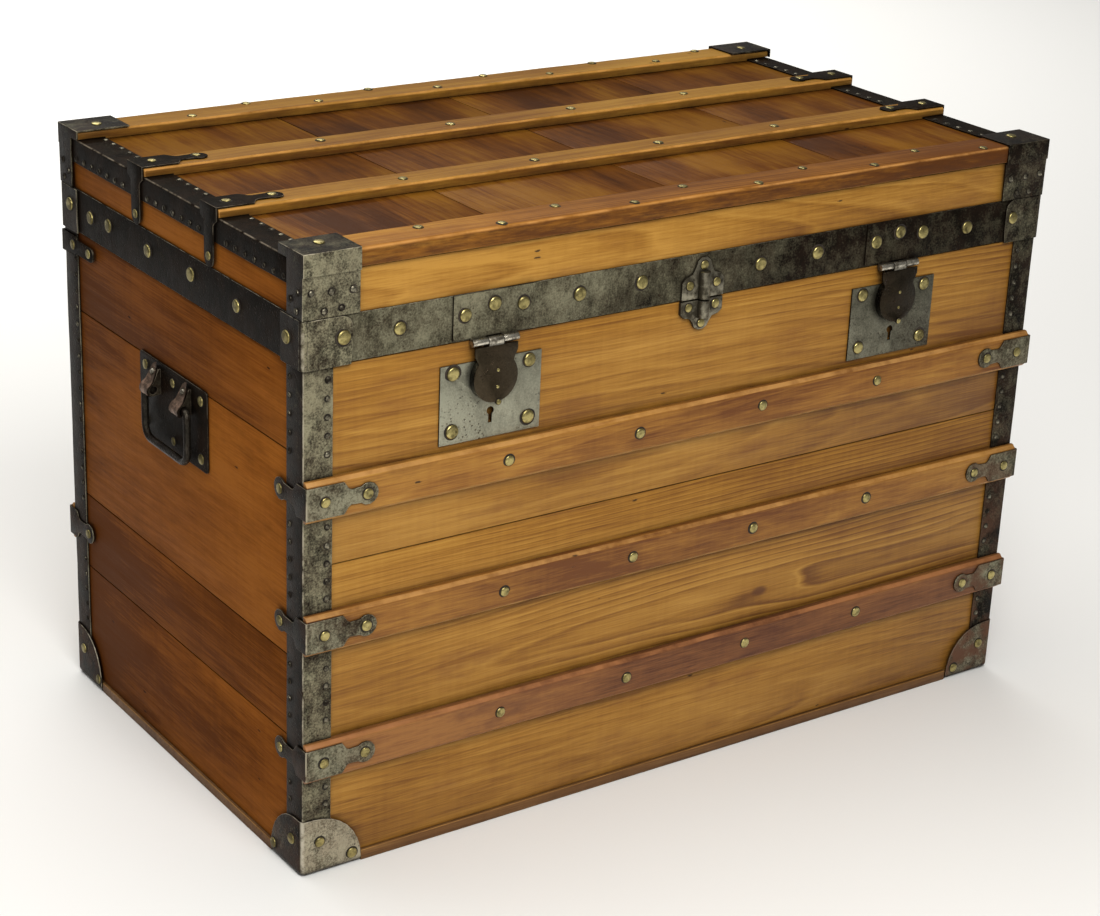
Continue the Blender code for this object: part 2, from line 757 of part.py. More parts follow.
def make_hasp():
    """A cup-shaped flap: a flat face with a turned-back rim, a knuckle, and a short staple inside."""
    centre = -LOCK_OFFSET
    face = HASP_AXIS_Y - HASP_BARREL_RADIUS
    rim = FRONT + LAYER - 0.0008
    flap = prism("hasp_left", hasp_outline(centre), "y", face, face + HASP_THICKNESS)
    disc = rod(
        "disc", HASP_DISC_RADIUS - 0.0002, (centre, face + 0.0005, HASP_DISC_HEIGHT),
        (centre, rim, HASP_DISC_HEIGHT), 24,
    )
    cup = rod(
        "cup", HASP_DISC_RADIUS - 0.0002 - HASP_RIM,
        (centre, face + HASP_THICKNESS, HASP_DISC_HEIGHT),
        (centre, rim + OVERSHOOT, HASP_DISC_HEIGHT), 24,
    )
    fused(flap, disc)
    cut(flap, cup)
    barrel_third = HASP_BARREL_WIDTH / 6 - 0.0004
    knuckle = rod(
        "knuckle", HASP_BARREL_RADIUS,
        (centre - barrel_third, HASP_AXIS_Y, HASP_AXIS_HEIGHT),
        (centre + barrel_third, HASP_AXIS_Y, HASP_AXIS_HEIGHT),
    )
    neck = block(
        "neck", (centre - barrel_third, face + 0.0002, HASP_AXIS_HEIGHT - HASP_BARREL_RADIUS - 0.003),
        (centre + barrel_third, face + 0.0016, HASP_AXIS_HEIGHT),
    )
    bore = rod(
        "bore", PIN_RADIUS + 0.0002,
        (centre - barrel_third - 0.002, HASP_AXIS_Y, HASP_AXIS_HEIGHT),
        (centre + barrel_third + 0.002, HASP_AXIS_Y, HASP_AXIS_HEIGHT), 12,
    )
    fused(flap, knuckle, neck)
    cut(flap, bore)
    staple_bottom = STAPLE_SLOT_BOTTOM + 0.0015
    staple = block(
        "staple", (centre - STAPLE_HALF_WIDTH, face + 0.001, staple_bottom),
        (centre + STAPLE_HALF_WIDTH, FRONT + LAYER + 0.0008, staple_bottom + STAPLE_HEIGHT),
    )
    lip_x = centre + LIFT_LIP_OFFSET
    lip_height = HASP_DISC_HEIGHT - HASP_DISC_RADIUS
    lift_lip = rod(
        "lift_lip", LIFT_LIP_RADIUS,
        (lip_x, face - 0.0006, lip_height), (lip_x, face + 0.002, lip_height), 12,
    )
    return fused(flap, staple, lift_lip)


def make_locks_and_hasps():
    pieces = {
        "lock": make_lock(),
        "lock_bolt": make_lock_bolt(),
        "hasp_plate": make_hasp_plate(),
        "hasp": make_hasp(),
    }
    for base_name, left in list(pieces.items()):
        offset = (2 * LOCK_OFFSET, 0.0, 0.0)
        pieces[base_name + "_right"] = shifted(left, base_name + "_right", offset)
    return pieces


# Alignment clasp -------------------------------------------------------------------------------


def clasp_half_outline(split, tip):
    """Half of a leaf-shaped plate: wide at the split, waisted, and pointed at the tip."""
    direction = math.copysign(1.0, tip - split)
    length = abs(tip - split)
    half = CLASP_WIDTH / 2
    side = [
        (half, 0.0),
        (half, 0.42 * length),
        (half - 0.004, 0.54 * length),
        (half * 0.52, 0.60 * length),
        (half * 0.40, 0.74 * length),
        (half * 0.30, 0.90 * length),
        (half * 0.12, 0.99 * length),
    ]
    other_side = [(-a, b) for a, b in reversed(side)]
    return [(CLASP_X + a, split + direction * b) for a, b in side + other_side]


def make_alignment_clasp():
    """A dowel on the lid drops into a socket on the body."""
    dowel_y = FRONT - 0.0018
    lower_top = BODY_TOP - 0.0002
    upper_bottom = LID_BOTTOM + 0.0002
    socket = prism(
        "clasp_socket", clasp_half_outline(lower_top, CLASP_BOTTOM), "y", FRONT, WOOD_FRONT - GAP,
    )
    socket_boss = rod(
        "boss", CLASP_BOSS_RADIUS,
        (CLASP_X, dowel_y, CLASP_BOTTOM + 0.012), (CLASP_X, dowel_y, lower_top),
    )
    bore = rod(
        "bore", DOWEL_RADIUS + 0.0005, (CLASP_X, dowel_y, lower_top - 0.0085),
        (CLASP_X, dowel_y, lower_top + OVERSHOOT), 16,
    )
    boss_back = block(
        "boss_back", (CLASP_X - 0.01, WOOD_FRONT - GAP, CLASP_BOTTOM),
        (CLASP_X + 0.01, WOOD_FRONT + OVERSHOOT, CLASP_TOP),
    )
    cut(fused(socket, socket_boss), bore, boss_back)
    plate = prism(
        "clasp_dowel", clasp_half_outline(upper_bottom, CLASP_TOP), "y", FRONT - 0.0003, FRONT + IRON,
    )
    plate_boss = rod(
        "boss", CLASP_BOSS_RADIUS,
        (CLASP_X, dowel_y, upper_bottom), (CLASP_X, dowel_y, CLASP_TOP - 0.013),
    )
    plate_back = block(
        "plate_back", (CLASP_X - 0.01, FRONT + IRON, CLASP_BOTTOM),
        (CLASP_X + 0.01, FRONT + OVERSHOOT, CLASP_TOP + OVERSHOOT),
    )
    cut(fused(plate, plate_boss), plate_back)
    dowel = rod(
        "dowel", DOWEL_RADIUS, (CLASP_X, dowel_y, lower_top - 0.007),
        (CLASP_X, dowel_y, upper_bottom + 0.004), 16,
    )
    return [socket, fused(plate, dowel)]


# End handles -----------------------------------------------------------------------------------


def make_handle_plate():
    """A plate with two riveted lugs, each bored for the bail's turned-in end."""
    plate_out = LEFT + LAYER
    half = HANDLE_PLATE_LENGTH / 2
    low = HANDLE_HEIGHT - HANDLE_PLATE_HEIGHT / 2
    corner = 0.004
    outline = [
        *arc((half - corner, low + HANDLE_PLATE_HEIGHT - corner), corner, 0, 90, 2),
        *arc((-half + corner, low + HANDLE_PLATE_HEIGHT - corner), corner, 90, 180, 2),
        *arc((-half + corner, low + corner), corner, 180, 270, 2),
        *arc((half - corner, low + corner), corner, 270, 360, 2),
    ]
    plate = prism("handle_plate_left", outline, "x", plate_out, plate_out + IRON)
    axis_x = plate_out - BAIL_STANDOFF
    for side in (-1, 1):
        inner = side * (BAIL_HALF_LENGTH - BAIL_BEND - LUG_WIDTH)
        outer = side * (BAIL_HALF_LENGTH - BAIL_BEND - GAP)
        span = sorted((inner, outer))
        section = [
            (plate_out + 0.0005, BAIL_AXIS_HEIGHT - 0.005),
            (plate_out + 0.0005, BAIL_AXIS_HEIGHT + LUG_HEIGHT),
            (plate_out - 0.002, BAIL_AXIS_HEIGHT + LUG_HEIGHT),
            (axis_x, BAIL_AXIS_HEIGHT + 0.006),
            *arc((axis_x, BAIL_AXIS_HEIGHT), LUG_RADIUS, 110, 250, 6),
            (axis_x, BAIL_AXIS_HEIGHT - LUG_RADIUS),
        ]
        lug = prism("lug", section, "y", span[0], span[1])
        bore = rod(
            "bore", BAIL_RADIUS + GAP,
            (axis_x, span[0] - OVERSHOOT, BAIL_AXIS_HEIGHT),
            (axis_x, span[1] + OVERSHOOT, BAIL_AXIS_HEIGHT), 16,
        )
        cut(lug, bore)
        fused(plate, lug)
    return plate


def make_handle_bail():
    """A round bar bent into a U, with both ends turned in to pass through the lugs."""
    axis_x = LEFT + LAYER - BAIL_STANDOFF
    bend = 0.012
    low = BAIL_AXIS_HEIGHT - BAIL_DROP
    half = BAIL_HALF_LENGTH
    path = [(half - BAIL_BEND - LUG_WIDTH * 0.8, BAIL_AXIS_HEIGHT)]
    path += arc((half - BAIL_BEND, BAIL_AXIS_HEIGHT - BAIL_BEND), BAIL_BEND, 90, 0, 3)
    path += arc((half - bend, low + bend), bend, 0, -90, 5)
    path += [(-a, b) for a, b in reversed(path)]
    curve = bpy.data.curves.new("bail_path", "CURVE")
    curve.dimensions = "3D"
    curve.bevel_depth = BAIL_RADIUS
    curve.bevel_resolution = 2
    curve.use_fill_caps = True
    spline = curve.splines.new("POLY")
    spline.points.add(len(path) - 1)
    for point, (y, z) in zip(spline.points, path):
        point.co = (axis_x, y, z, 1.0)
    bar = bpy.data.objects.new("bail_curve", curve)
    bpy.context.scene.collection.objects.link(bar)
    bpy.context.view_layer.update()
    graph = bpy.context.evaluated_depsgraph_get()
    mesh = bpy.data.meshes.new_from_object(bar.evaluated_get(graph))
    bpy.data.objects.remove(bar, do_unlink=True)
    shape = bmesh.new()
    shape.from_mesh(mesh)
    bmesh.ops.remove_doubles(shape, verts=shape.verts, dist=0.00001)
    return object_from_bmesh("handle_bail_left", shape)


# Hinges ----------------------------------------------------------------------------------------


def hinge_knuckle(start, end):
    ends = [(x, HINGE_AXIS_Y, HINGE_AXIS_Z) for x in (start, end)]
    return rod("knuckle", KNUCKLE_RADIUS, *ends)


def make_hinge():
    """A strap hinge at the back corner; the body leaf wraps round the corner onto the end wall."""
    count = 5
    length = (HINGE_LENGTH - HINGE_KNUCKLE_START) / count
    starts = [LEFT + HINGE_KNUCKLE_START + index * length for index in range(count)]
    leaf_inner = BACK - IRON
    body_edge = HINGE_AXIS_Z - KNUCKLE_RADIUS - FINE_GAP
    lid_edge = HINGE_AXIS_Z + KNUCKLE_RADIUS + FINE_GAP
    body_leaf = block(
        "hinge_body_leaf_left", (LEFT, leaf_inner, HINGE_LEAF_BOTTOM),
        (LEFT + HINGE_LENGTH, BACK, body_edge),
    )
    wrap_centre = (HINGE_LEAF_BOTTOM + body_edge) / 2
    wrap_width = body_edge - HINGE_LEAF_BOTTOM
    wrap_outline = tongue_outline(
        BACK, BACK - 0.030, BACK - 0.068, wrap_centre, wrap_width, wrap_width - 0.006,
    )
    wrap = prism("wrap", wrap_outline, "x", LEFT, LEFT + IRON)
    fused(body_leaf, wrap)
    lid_leaf = block(
        "hinge_lid_leaf_left", (LEFT + FLANGE / 2, leaf_inner, lid_edge),
        (LEFT + HINGE_LENGTH, BACK, HINGE_LEAF_TOP),
    )
    for index, start in enumerate(starts):
        near = start + GAP
        far = start + length - GAP
        leaf, neck_low, neck_high = (
            (body_leaf, body_edge - 0.001, HINGE_AXIS_Z),
            (lid_leaf, HINGE_AXIS_Z, lid_edge + 0.001),
        )[index % 2]
        neck = block("neck", (near, BACK - 0.0010, neck_low), (far, BACK + 0.0002, neck_high))
        fused(leaf, hinge_knuckle(near, far), neck)
    lid_bore = rod(
        "bore", PIN_BORE, (starts[1] - 0.002, HINGE_AXIS_Y, HINGE_AXIS_Z),
        (starts[-1] + 0.002, HINGE_AXIS_Y, HINGE_AXIS_Z),
    )
    cut(lid_leaf, lid_bore)
    pin = rod(
        "pin", PIN_RADIUS, (starts[0] + 0.001, HINGE_AXIS_Y, HINGE_AXIS_Z),
        (starts[-1] + 0.005, HINGE_AXIS_Y, HINGE_AXIS_Z), 12,
    )
    return [fused(body_leaf, pin), lid_leaf]


def main():
    clear_scene()
    front_wood = make_material("front_wood", WOOD_FRONT_COLOUR, 0.45, 0.0)
    dark_wood = make_material("dark_wood", WOOD_DARK_COLOUR, 0.45, 0.0)
    slat_wood = make_material("slat_wood", WOOD_SLAT_COLOUR, 0.45, 0.0)
    iron = make_material("iron", IRON_COLOUR, 0.5, 0.9)
    bright_steel = make_material("bright_steel", BRIGHT_STEEL_COLOUR, 0.3, 1.0)
    brass = make_material("brass", BRASS_COLOUR, 0.35, 1.0)

    for piece in make_front_and_back_panels() + make_lid_frame():
        finish(piece, front_wood)
    for piece in make_end_panels() + make_bottom_panel() + make_lid_top_panel():
        finish(piece, dark_wood)
    front_slats = make_front_slats()
    back_slat = make_back_slat(front_slats[0])
    for piece in front_slats + [back_slat] + make_lid_slats():
        finish(piece, slat_wood)
    for piece in make_corner_bindings() + make_lid_end_bindings() + make_lid_band():
        finish(piece, iron)
    for piece in make_base_caps() + make_lid_caps():
        finish(piece, iron)
    for piece in make_front_slat_clamps() + make_lid_slat_clamps():
        finish(piece, iron)

    fittings = make_locks_and_hasps()
    for base_name in ("lock", "hasp_plate", "hasp"):
        finish(fittings[base_name], iron)
        finish(fittings[base_name + "_right"], iron)
    for name in ("lock_bolt", "lock_bolt_right"):
        finish(fittings[name], brass)
    for piece in make_alignment_clasp():
        finish(piece, bright_steel)
    for left, right_name in (
        (make_handle_plate(), "handle_plate_right"),
        (make_handle_bail(), "handle_bail_right"),
    ):
        left.data.transform(Matrix.Translation((0.0, HANDLE_Y, 0.0)))
        finish(left, iron)
        finish(mirrored(left, right_name, "x"), iron)
    for left, right_name in zip(make_hinge(), ("hinge_body_leaf_right", "hinge_lid_leaf_right")):
        finish(left, iron)
        finish(mirrored(left, right_name, "x"), iron)


main()
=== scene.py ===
import json
import math
import random

import bmesh
import bpy
from mathutils import Matrix, Vector, noise

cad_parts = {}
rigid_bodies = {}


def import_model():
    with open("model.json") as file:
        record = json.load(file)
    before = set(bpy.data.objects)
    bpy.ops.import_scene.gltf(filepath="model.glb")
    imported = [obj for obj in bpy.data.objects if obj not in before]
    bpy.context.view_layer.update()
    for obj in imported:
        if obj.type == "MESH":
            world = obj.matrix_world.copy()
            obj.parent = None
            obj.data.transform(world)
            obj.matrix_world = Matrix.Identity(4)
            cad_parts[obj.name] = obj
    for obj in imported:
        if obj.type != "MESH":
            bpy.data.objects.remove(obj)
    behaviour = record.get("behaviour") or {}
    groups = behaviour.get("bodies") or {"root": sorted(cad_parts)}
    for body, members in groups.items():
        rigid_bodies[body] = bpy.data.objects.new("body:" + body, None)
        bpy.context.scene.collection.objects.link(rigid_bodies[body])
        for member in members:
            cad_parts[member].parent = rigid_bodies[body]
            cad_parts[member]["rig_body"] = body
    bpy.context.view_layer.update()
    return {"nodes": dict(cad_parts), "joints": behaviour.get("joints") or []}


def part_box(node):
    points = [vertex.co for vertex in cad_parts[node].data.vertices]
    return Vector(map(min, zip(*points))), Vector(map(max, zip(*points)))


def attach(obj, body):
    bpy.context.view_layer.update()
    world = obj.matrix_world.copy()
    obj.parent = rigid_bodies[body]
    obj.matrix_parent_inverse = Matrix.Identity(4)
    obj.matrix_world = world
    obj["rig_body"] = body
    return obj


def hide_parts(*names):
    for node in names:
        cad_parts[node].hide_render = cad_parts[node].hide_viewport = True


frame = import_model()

X, Y, Z = 0, 1, 2

# The sways and dents come out the same in every run.
noise.seed_set(11)

# The trunk's planes, read from the frame. Metres, +X right, +Y to the back, +Z up.
WOOD_LOW, WOOD_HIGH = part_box("front_panel")
BAND_LOW, BAND_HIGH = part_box("lid_band")
LID_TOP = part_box("lid_corner_cap_front_left")[1].z
IRON_LAYER = 0.0018
IRON = 0.0015
LEFT = BAND_LOW.x - IRON_LAYER
RIGHT = -LEFT
FRONT = BAND_LOW.y - IRON_LAYER
BACK = -FRONT
WIDTH = RIGHT - LEFT
DEPTH = BACK - FRONT
PANEL_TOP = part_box("lid_top_panel")[1].z
SLAT_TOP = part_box("lid_slat_front")[1].z
SLAT_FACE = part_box("front_slat_upper")[0].y
CLAMP_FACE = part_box("slat_clamp_upper_left")[0].y

# Boards: heights of the seams in the walls, and how far the lid's seams lie from the left.
SEAM_GAP = 0.0005
WALL_SEAMS = (0.113, 0.293)
END_SEAMS = (0.127, 0.204, 0.392)
# The end boards' tones from the bottom up: darker at the bottom and top, lightest in the third board, as
# painted shade and a painted highlight.
END_BOARD_SHADING = (0.26, 0.20, 0.05, 0.18)
TOP_SEAMS = (0.211, 0.405, 0.607)
BOLT_ROOM = Vector((0.024, 0.0, 0.012))
SLAT_CUTS = 48
STRAIGHT_END = 0.07

# The straps that lap over the band's corners.
LAP_FRONT_LENGTH = 0.0465
LAP_SIDE_LENGTH = 0.036
LAP_FACE = BACK + 0.0005
LAP_OVERHANG = 0.0012
LAP_CORNER = 0.0045
LAP_END_RADIUS = 0.010

# The tabs over the lugs of the end handles.
TAB_THICKNESS = 0.0009
LUG_OFFSET = 0.0299
LUG_REACH = 0.0062
TAB_HALF_WIDTH = 0.0078

# Nail heads, each with its radius and height, and the places where they sit.
BRASS_HEAD = (0.0061, 0.0021)
SLAT_HEAD = (0.0047, 0.0017)
TACK_HEAD = (0.0026, 0.0013)
RIVET_HEAD = (0.0034, 0.0028)
SLAT_NAIL_STEP = 0.140
CLAMP_NAILS = (0.018, 0.0585)
CLAMP_END_NAIL = 0.038
BAND_NAILS = (0.038, 0.092, 0.272, 0.338, 0.471, 0.538, 0.724, 0.782)
BAND_END_NAILS = (0.025, 0.115, 0.199, 0.283, 0.364, 0.403, 0.443)
TACK_STEP = 0.0166
LID_TACK_STEP = 0.0165
LID_TACK_HEIGHT = 0.5415
FLANGE_MIDDLE = 0.0245
STRAP_OFFSET = 0.0705
STRAP_ROOM = 0.013
HASP_PLATE_NAILS = ((-0.029, 0.4945), (0.0, 0.5005), (0.029, 0.4965))
HASP_STUDS = (0.4275, 0.4425)
CLASP_NAIL_OFFSET = 0.0150
BASE_CAP_NAILS = ((0.018, 0.032), (0.0505, 0.0115))
LID_CAP_TACKS = ((0.008, 0.5355), (0.0265, 0.5345), (0.0465, 0.5340), (0.020, 0.5190), (0.036, 0.5195))
LID_CAP_END_TACKS = ((0.008, 0.535), (0.020, 0.527), (0.010, 0.519))
HINGE_END_NAILS = (0.024, 0.058)
HINGE_NAILS = (0.024, 0.050, 0.080)

# Colours of age and dirt; the two dirt colours also paint shade into corners.
KNOT_BROWN = (0.085, 0.026, 0.010)
SCUFF_BROWN = (0.070, 0.026, 0.010)
NICK_BROWN = (0.018, 0.008, 0.004)
WOOD_DIRT_AND_SHADE = (0.028, 0.012, 0.005)
RUST_BROWN = (0.150, 0.078, 0.050)
PIT_BROWN = (0.030, 0.018, 0.011)
IRON_DIRT_AND_SHADE = (0.006, 0.004, 0.003)


# Shader helpers


class Value:
    """A number, vector or colour in a material, with arithmetic that makes new nodes."""

    def __init__(self, look, socket):
        self.look = look
        self.socket = socket

    def calc(self, operation, other=0.0, clamp=False):
        inputs = {0: self, 1: other}
        return self.look.node("ShaderNodeMath", inputs, operation=operation, use_clamp=clamp)

    def __add__(self, other):
        return self.calc("ADD", other)

    def __sub__(self, other):
        return self.calc("SUBTRACT", other)

    def __rsub__(self, other):
        return self * -1.0 + other

    def __mul__(self, other):
        return self.calc("MULTIPLY", other)

    def __truediv__(self, other):
        return self.calc("DIVIDE", other)

    def __abs__(self):
        return self.calc("ABSOLUTE")

    def clamped(self):
        """The same number, kept between 0 and 1."""
        return self.calc("ADD", clamp=True)

    def also(self, output):
        """Another output of the same node."""
        return Value(self.look, self.socket.node.outputs[output])


class Look:
    """A material, with a method for each kind of node that the looks are made of."""

    def __init__(self, name, specular=0.5, metallic=0.0, coat=0.0):
        self.material = bpy.data.materials.new(name)
        self.material.use_nodes = True
        self.tree = self.material.node_tree
        self.shader = self.tree.nodes["Principled BSDF"]
        self.shader.inputs["Specular IOR Level"].default_value = specular
        self.shader.inputs["Metallic"].default_value = metallic
        self.shader.inputs["Coat Weight"].default_value = coat
        self.shader.inputs["Coat Roughness"].default_value = 0.22

    def node(self, kind, inputs=None, output=0, **settings):
        """A node with its inputs set, each to a plain value or from another node."""
        node = self.tree.nodes.new(kind)
        for key, value in settings.items():
            setattr(node, key, value)
        for key, value in (inputs or {}).items():
            if isinstance(value, Value):
                self.tree.links.new(value.socket, node.inputs[key])
            else:
                node.inputs[key].default_value = value
        return Value(self, node.outputs[output])

    def attribute(self, name, output="Vector"):
        return self.node("ShaderNodeAttribute", output=output, attribute_name=name)

    def coordinates(self, output):
        return self.node("ShaderNodeTexCoord", output=output)

    def axis(self, vector, name):
        return self.node("ShaderNodeSeparateXYZ", {0: vector}, name)

    def vector(self, operation, first, second=(0.0, 0.0, 0.0), output=0):
        return self.node("ShaderNodeVectorMath", {0: first, 1: second}, output, operation=operation)

    def noise(self, at, scale, detail=3.0, roughness=0.55, stretch=(1.0, 1.0, 1.0), output=0):
        inputs = {
            "Vector": self.vector("MULTIPLY", at, stretch), "Scale": scale, "Detail": detail,
            "Roughness": roughness,
        }
        return self.node("ShaderNodeTexNoise", inputs, output)

    def ramp(self, factor, stops):
        """A colour ramp from (position, colour) stops; a plain number stands for a grey."""
        made = self.node("ShaderNodeValToRGB", {0: factor})
        elements = made.socket.node.color_ramp.elements
        while len(elements) < len(stops):
            elements.new(0.5)
        for element, (position, colour) in zip(elements, stops):
            element.position = position
            if isinstance(colour, float):
                colour = (colour, colour, colour)
            element.color = (*colour, 1.0)
        return made

    def mix(self, share, first, second):
        """Go from the first colour to the second as the share goes from 0 to 1."""
        first = (*first, 1.0) if isinstance(first, tuple) else first
        inputs = {0: share, 6: first, 7: (*second, 1.0)}
        return self.node("ShaderNodeMix", inputs, 2, data_type="RGBA", clamp_result=False)

    def fade(self, value, start, end, low=0.0, high=1.0):
        """Go smoothly from low at the start value to high at the end value."""
        inputs = {"Value": value, "From Min": start, "From Max": end, "To Min": low, "To Max": high}
        return self.node("ShaderNodeMapRange", inputs, interpolation_type="SMOOTHSTEP")

    def edges(self):
        """1 on rounded edges, where the surface turns away from the three axes, and 0 on flat faces."""
        facing = self.vector("ABSOLUTE", self.coordinates("Normal"))
        squarest = self.axis(facing, "X")
        for name in ("Y", "Z"):
            squarest = squarest.calc("MAXIMUM", self.axis(facing, name))
        return self.fade(1.0 - squarest, 0.03, 0.22)

    def corners(self, distance):
        """Dirt and painted shade: 1 in a tight corner, 0 in the open."""
        open_share = self.node("ShaderNodeAmbientOcclusion", {"Distance": distance}, "AO", samples=6)
        return (1.0 - open_share).clamped()

    def finish(self, colour, roughness, height, strength, distance):
        """Give the shader its colour, its roughness and a bump from the height."""
        bump = self.node("ShaderNodeBump", {"Height": height, "Strength": strength, "Distance": distance})
        for name, value in (("Base Color", colour), ("Roughness", roughness), ("Normal", bump)):
            self.tree.links.new(value.socket, self.shader.inputs[name])
        return self.material


# Materials


def growth_rings(look, grain, knot_near, knot_far, ring_width):
    """Ring lines: over 0 on the dark late wood, under 0 on the pale early wood, clearer near the knot."""
    sway = look.noise(grain, 1.0, 2.0, 0.45, (2.2, 14.0, 14.0), output=1)
    centred = look.vector("SUBTRACT", sway, (0.5, 0.5, 0.5))
    bent = look.vector("ADD", grain, look.vector("MULTIPLY", centred, (0.0, 0.020, 0.020)))
    radius = look.vector("LENGTH", look.vector("MULTIPLY", bent, (0.0, 1.0, 1.0)), output="Value")
    uneven = look.noise(grain, 6.0, 2.0, stretch=(0.2, 1.0, 1.0))
    phase = radius / ring_width + uneven * 1.2 + knot_near * 0.9
    lines = look.ramp(
        phase.calc("FRACT"),
        [(0.0, 0.42), (0.07, 0.0), (0.16, 0.30), (0.62, 0.50), (0.90, 0.92), (1.0, 0.42)],
    )
    strength = look.noise(grain, 5.0, 2.0, stretch=(0.35, 1.6, 1.6))
    strength = look.ramp(strength, [(0.32, 0.12), (0.66, 1.0)]) + knot_near + knot_far * 0.8
    return (lines - 0.45) * strength


def around_knot(look, from_knot, stretch, start, end):
    """1 at the knot and 0 away from it, in an oval that the stretch gives."""
    distance = look.vector("LENGTH", look.vector("MULTIPLY", from_knot, stretch), output="Value")
    return look.fade(distance, start, end)


def nicks(look, grain):
    """Short dark dents, scattered along the grain."""
    cells = look.vector("MULTIPLY", grain, (30.0, 95.0, 95.0))
    cell = look.node("ShaderNodeTexVoronoi", {"Vector": cells, "Scale": 1.0, "Randomness": 1.0}, "Distance")
    chosen = look.node("ShaderNodeSeparateColor", {0: cell.also("Color")})
    ragged = look.noise(grain, 1.0, 3.0, 0.7, (260.0, 600.0, 600.0))
    return look.fade(cell + ragged * 0.16, 0.20, 0.14) * chosen.calc("GREATER_THAN", 0.935)


def wood(name, light, middle, dark, ring_width=0.0045, ring=0.5, gloss=0.42, streak=0.38, blotch=0.45,
         stain=(0.14, 0.045, 0.016), stained=0.5, scuffed=0.0, worn_edge=(0.46, 0.24, 0.06), coat=0.04,
         specular=0.22):
    """Old varnished boards whose rings, fibres, streaks, stains and nicks follow each board's own grain."""
    look = Look(name, specular, coat=coat)
    grain = look.attribute("grain")
    at = look.coordinates("Object")
    from_knot = look.vector("SUBTRACT", grain, look.attribute("knot"))
    knot_near = around_knot(look, from_knot, (14.0, 42.0, 0.0), 1.3, 0.1)
    knot_far = around_knot(look, from_knot, (2.6, 15.0, 0.0), 1.2, 0.5)
    knot_core = around_knot(look, from_knot, (90.0, 170.0, 0.0), 1.1, 0.4)

    rings = growth_rings(look, grain, knot_near, knot_far, ring_width)
    fibre = look.noise(grain, 1.0, 4.0, 0.65, (10.0, 700.0, 700.0))
    streaks = look.noise(grain, 1.0, 6.0, 0.70, (2.6, 120.0, 120.0))
    chatter = look.noise(grain, 1.0, 3.0, 0.6, (170.0, 9.0, 9.0))
    broad = look.noise(grain, 1.0, 4.0, 0.55, (3.5, 11.0, 11.0))
    amount = rings * ring + 0.5
    for part, share in ((streaks, streak), (fibre, 0.42), (chatter, 0.07), (broad, blotch)):
        amount += (part - 0.5) * (share * 2.1)
    amount = (amount + look.attribute("tone", "Fac")).clamped()
    colour = look.ramp(amount, [(0.15, light), (0.5, middle), (0.88, dark)])

    patches = look.noise(grain, 1.0, 6.0, 0.66, (6.0, 19.0, 19.0))
    colour = look.mix(look.ramp(patches, [(0.55, 0.0), (0.74, stained)]), colour, stain)
    colour = look.mix(knot_core * 0.75, colour, KNOT_BROWN)
    if scuffed:
        sideways = look.fade(look.axis(look.coordinates("Normal"), "Z"), 0.75, 0.25)
        rubbed = look.noise(at, 1.0, 6.0, 0.7, (22.0, 60.0, 130.0))
        rubbed = look.ramp(rubbed, [(0.38, 0.25), (0.62, 1.0)]) * sideways
        colour = look.mix(rubbed * scuffed, colour, SCUFF_BROWN)
    worn = look.ramp(look.noise(at, 32.0, 5.0, 0.65), [(0.34, 0.12), (0.60, 0.80)])
    colour = look.mix(look.edges() * worn, colour, worn_edge)
    nick = nicks(look, grain)
    colour = look.mix(nick * 0.85, colour, NICK_BROWN)
    # Dirt and painted shade: corners and the wood under slats and fittings darkened, in uneven patches.
    patchy_dirt_and_shade = look.ramp(look.noise(at, 45.0, 4.0, 0.6), [(0.35, 0.55), (0.65, 1.0)])
    dirt_and_shade = look.corners(0.014) * 0.95 * patchy_dirt_and_shade
    colour = look.mix(dirt_and_shade, colour, WOOD_DIRT_AND_SHADE)

    shine = (streaks * 0.30 + patches * 0.15 + (gloss - 0.22) + dirt_and_shade * 0.25).clamped()
    height = fibre * 0.7 + streaks * 0.5 + chatter * 0.15 - nick * 1.5
    return look.finish(colour, shine, height, 0.4, 0.0006)


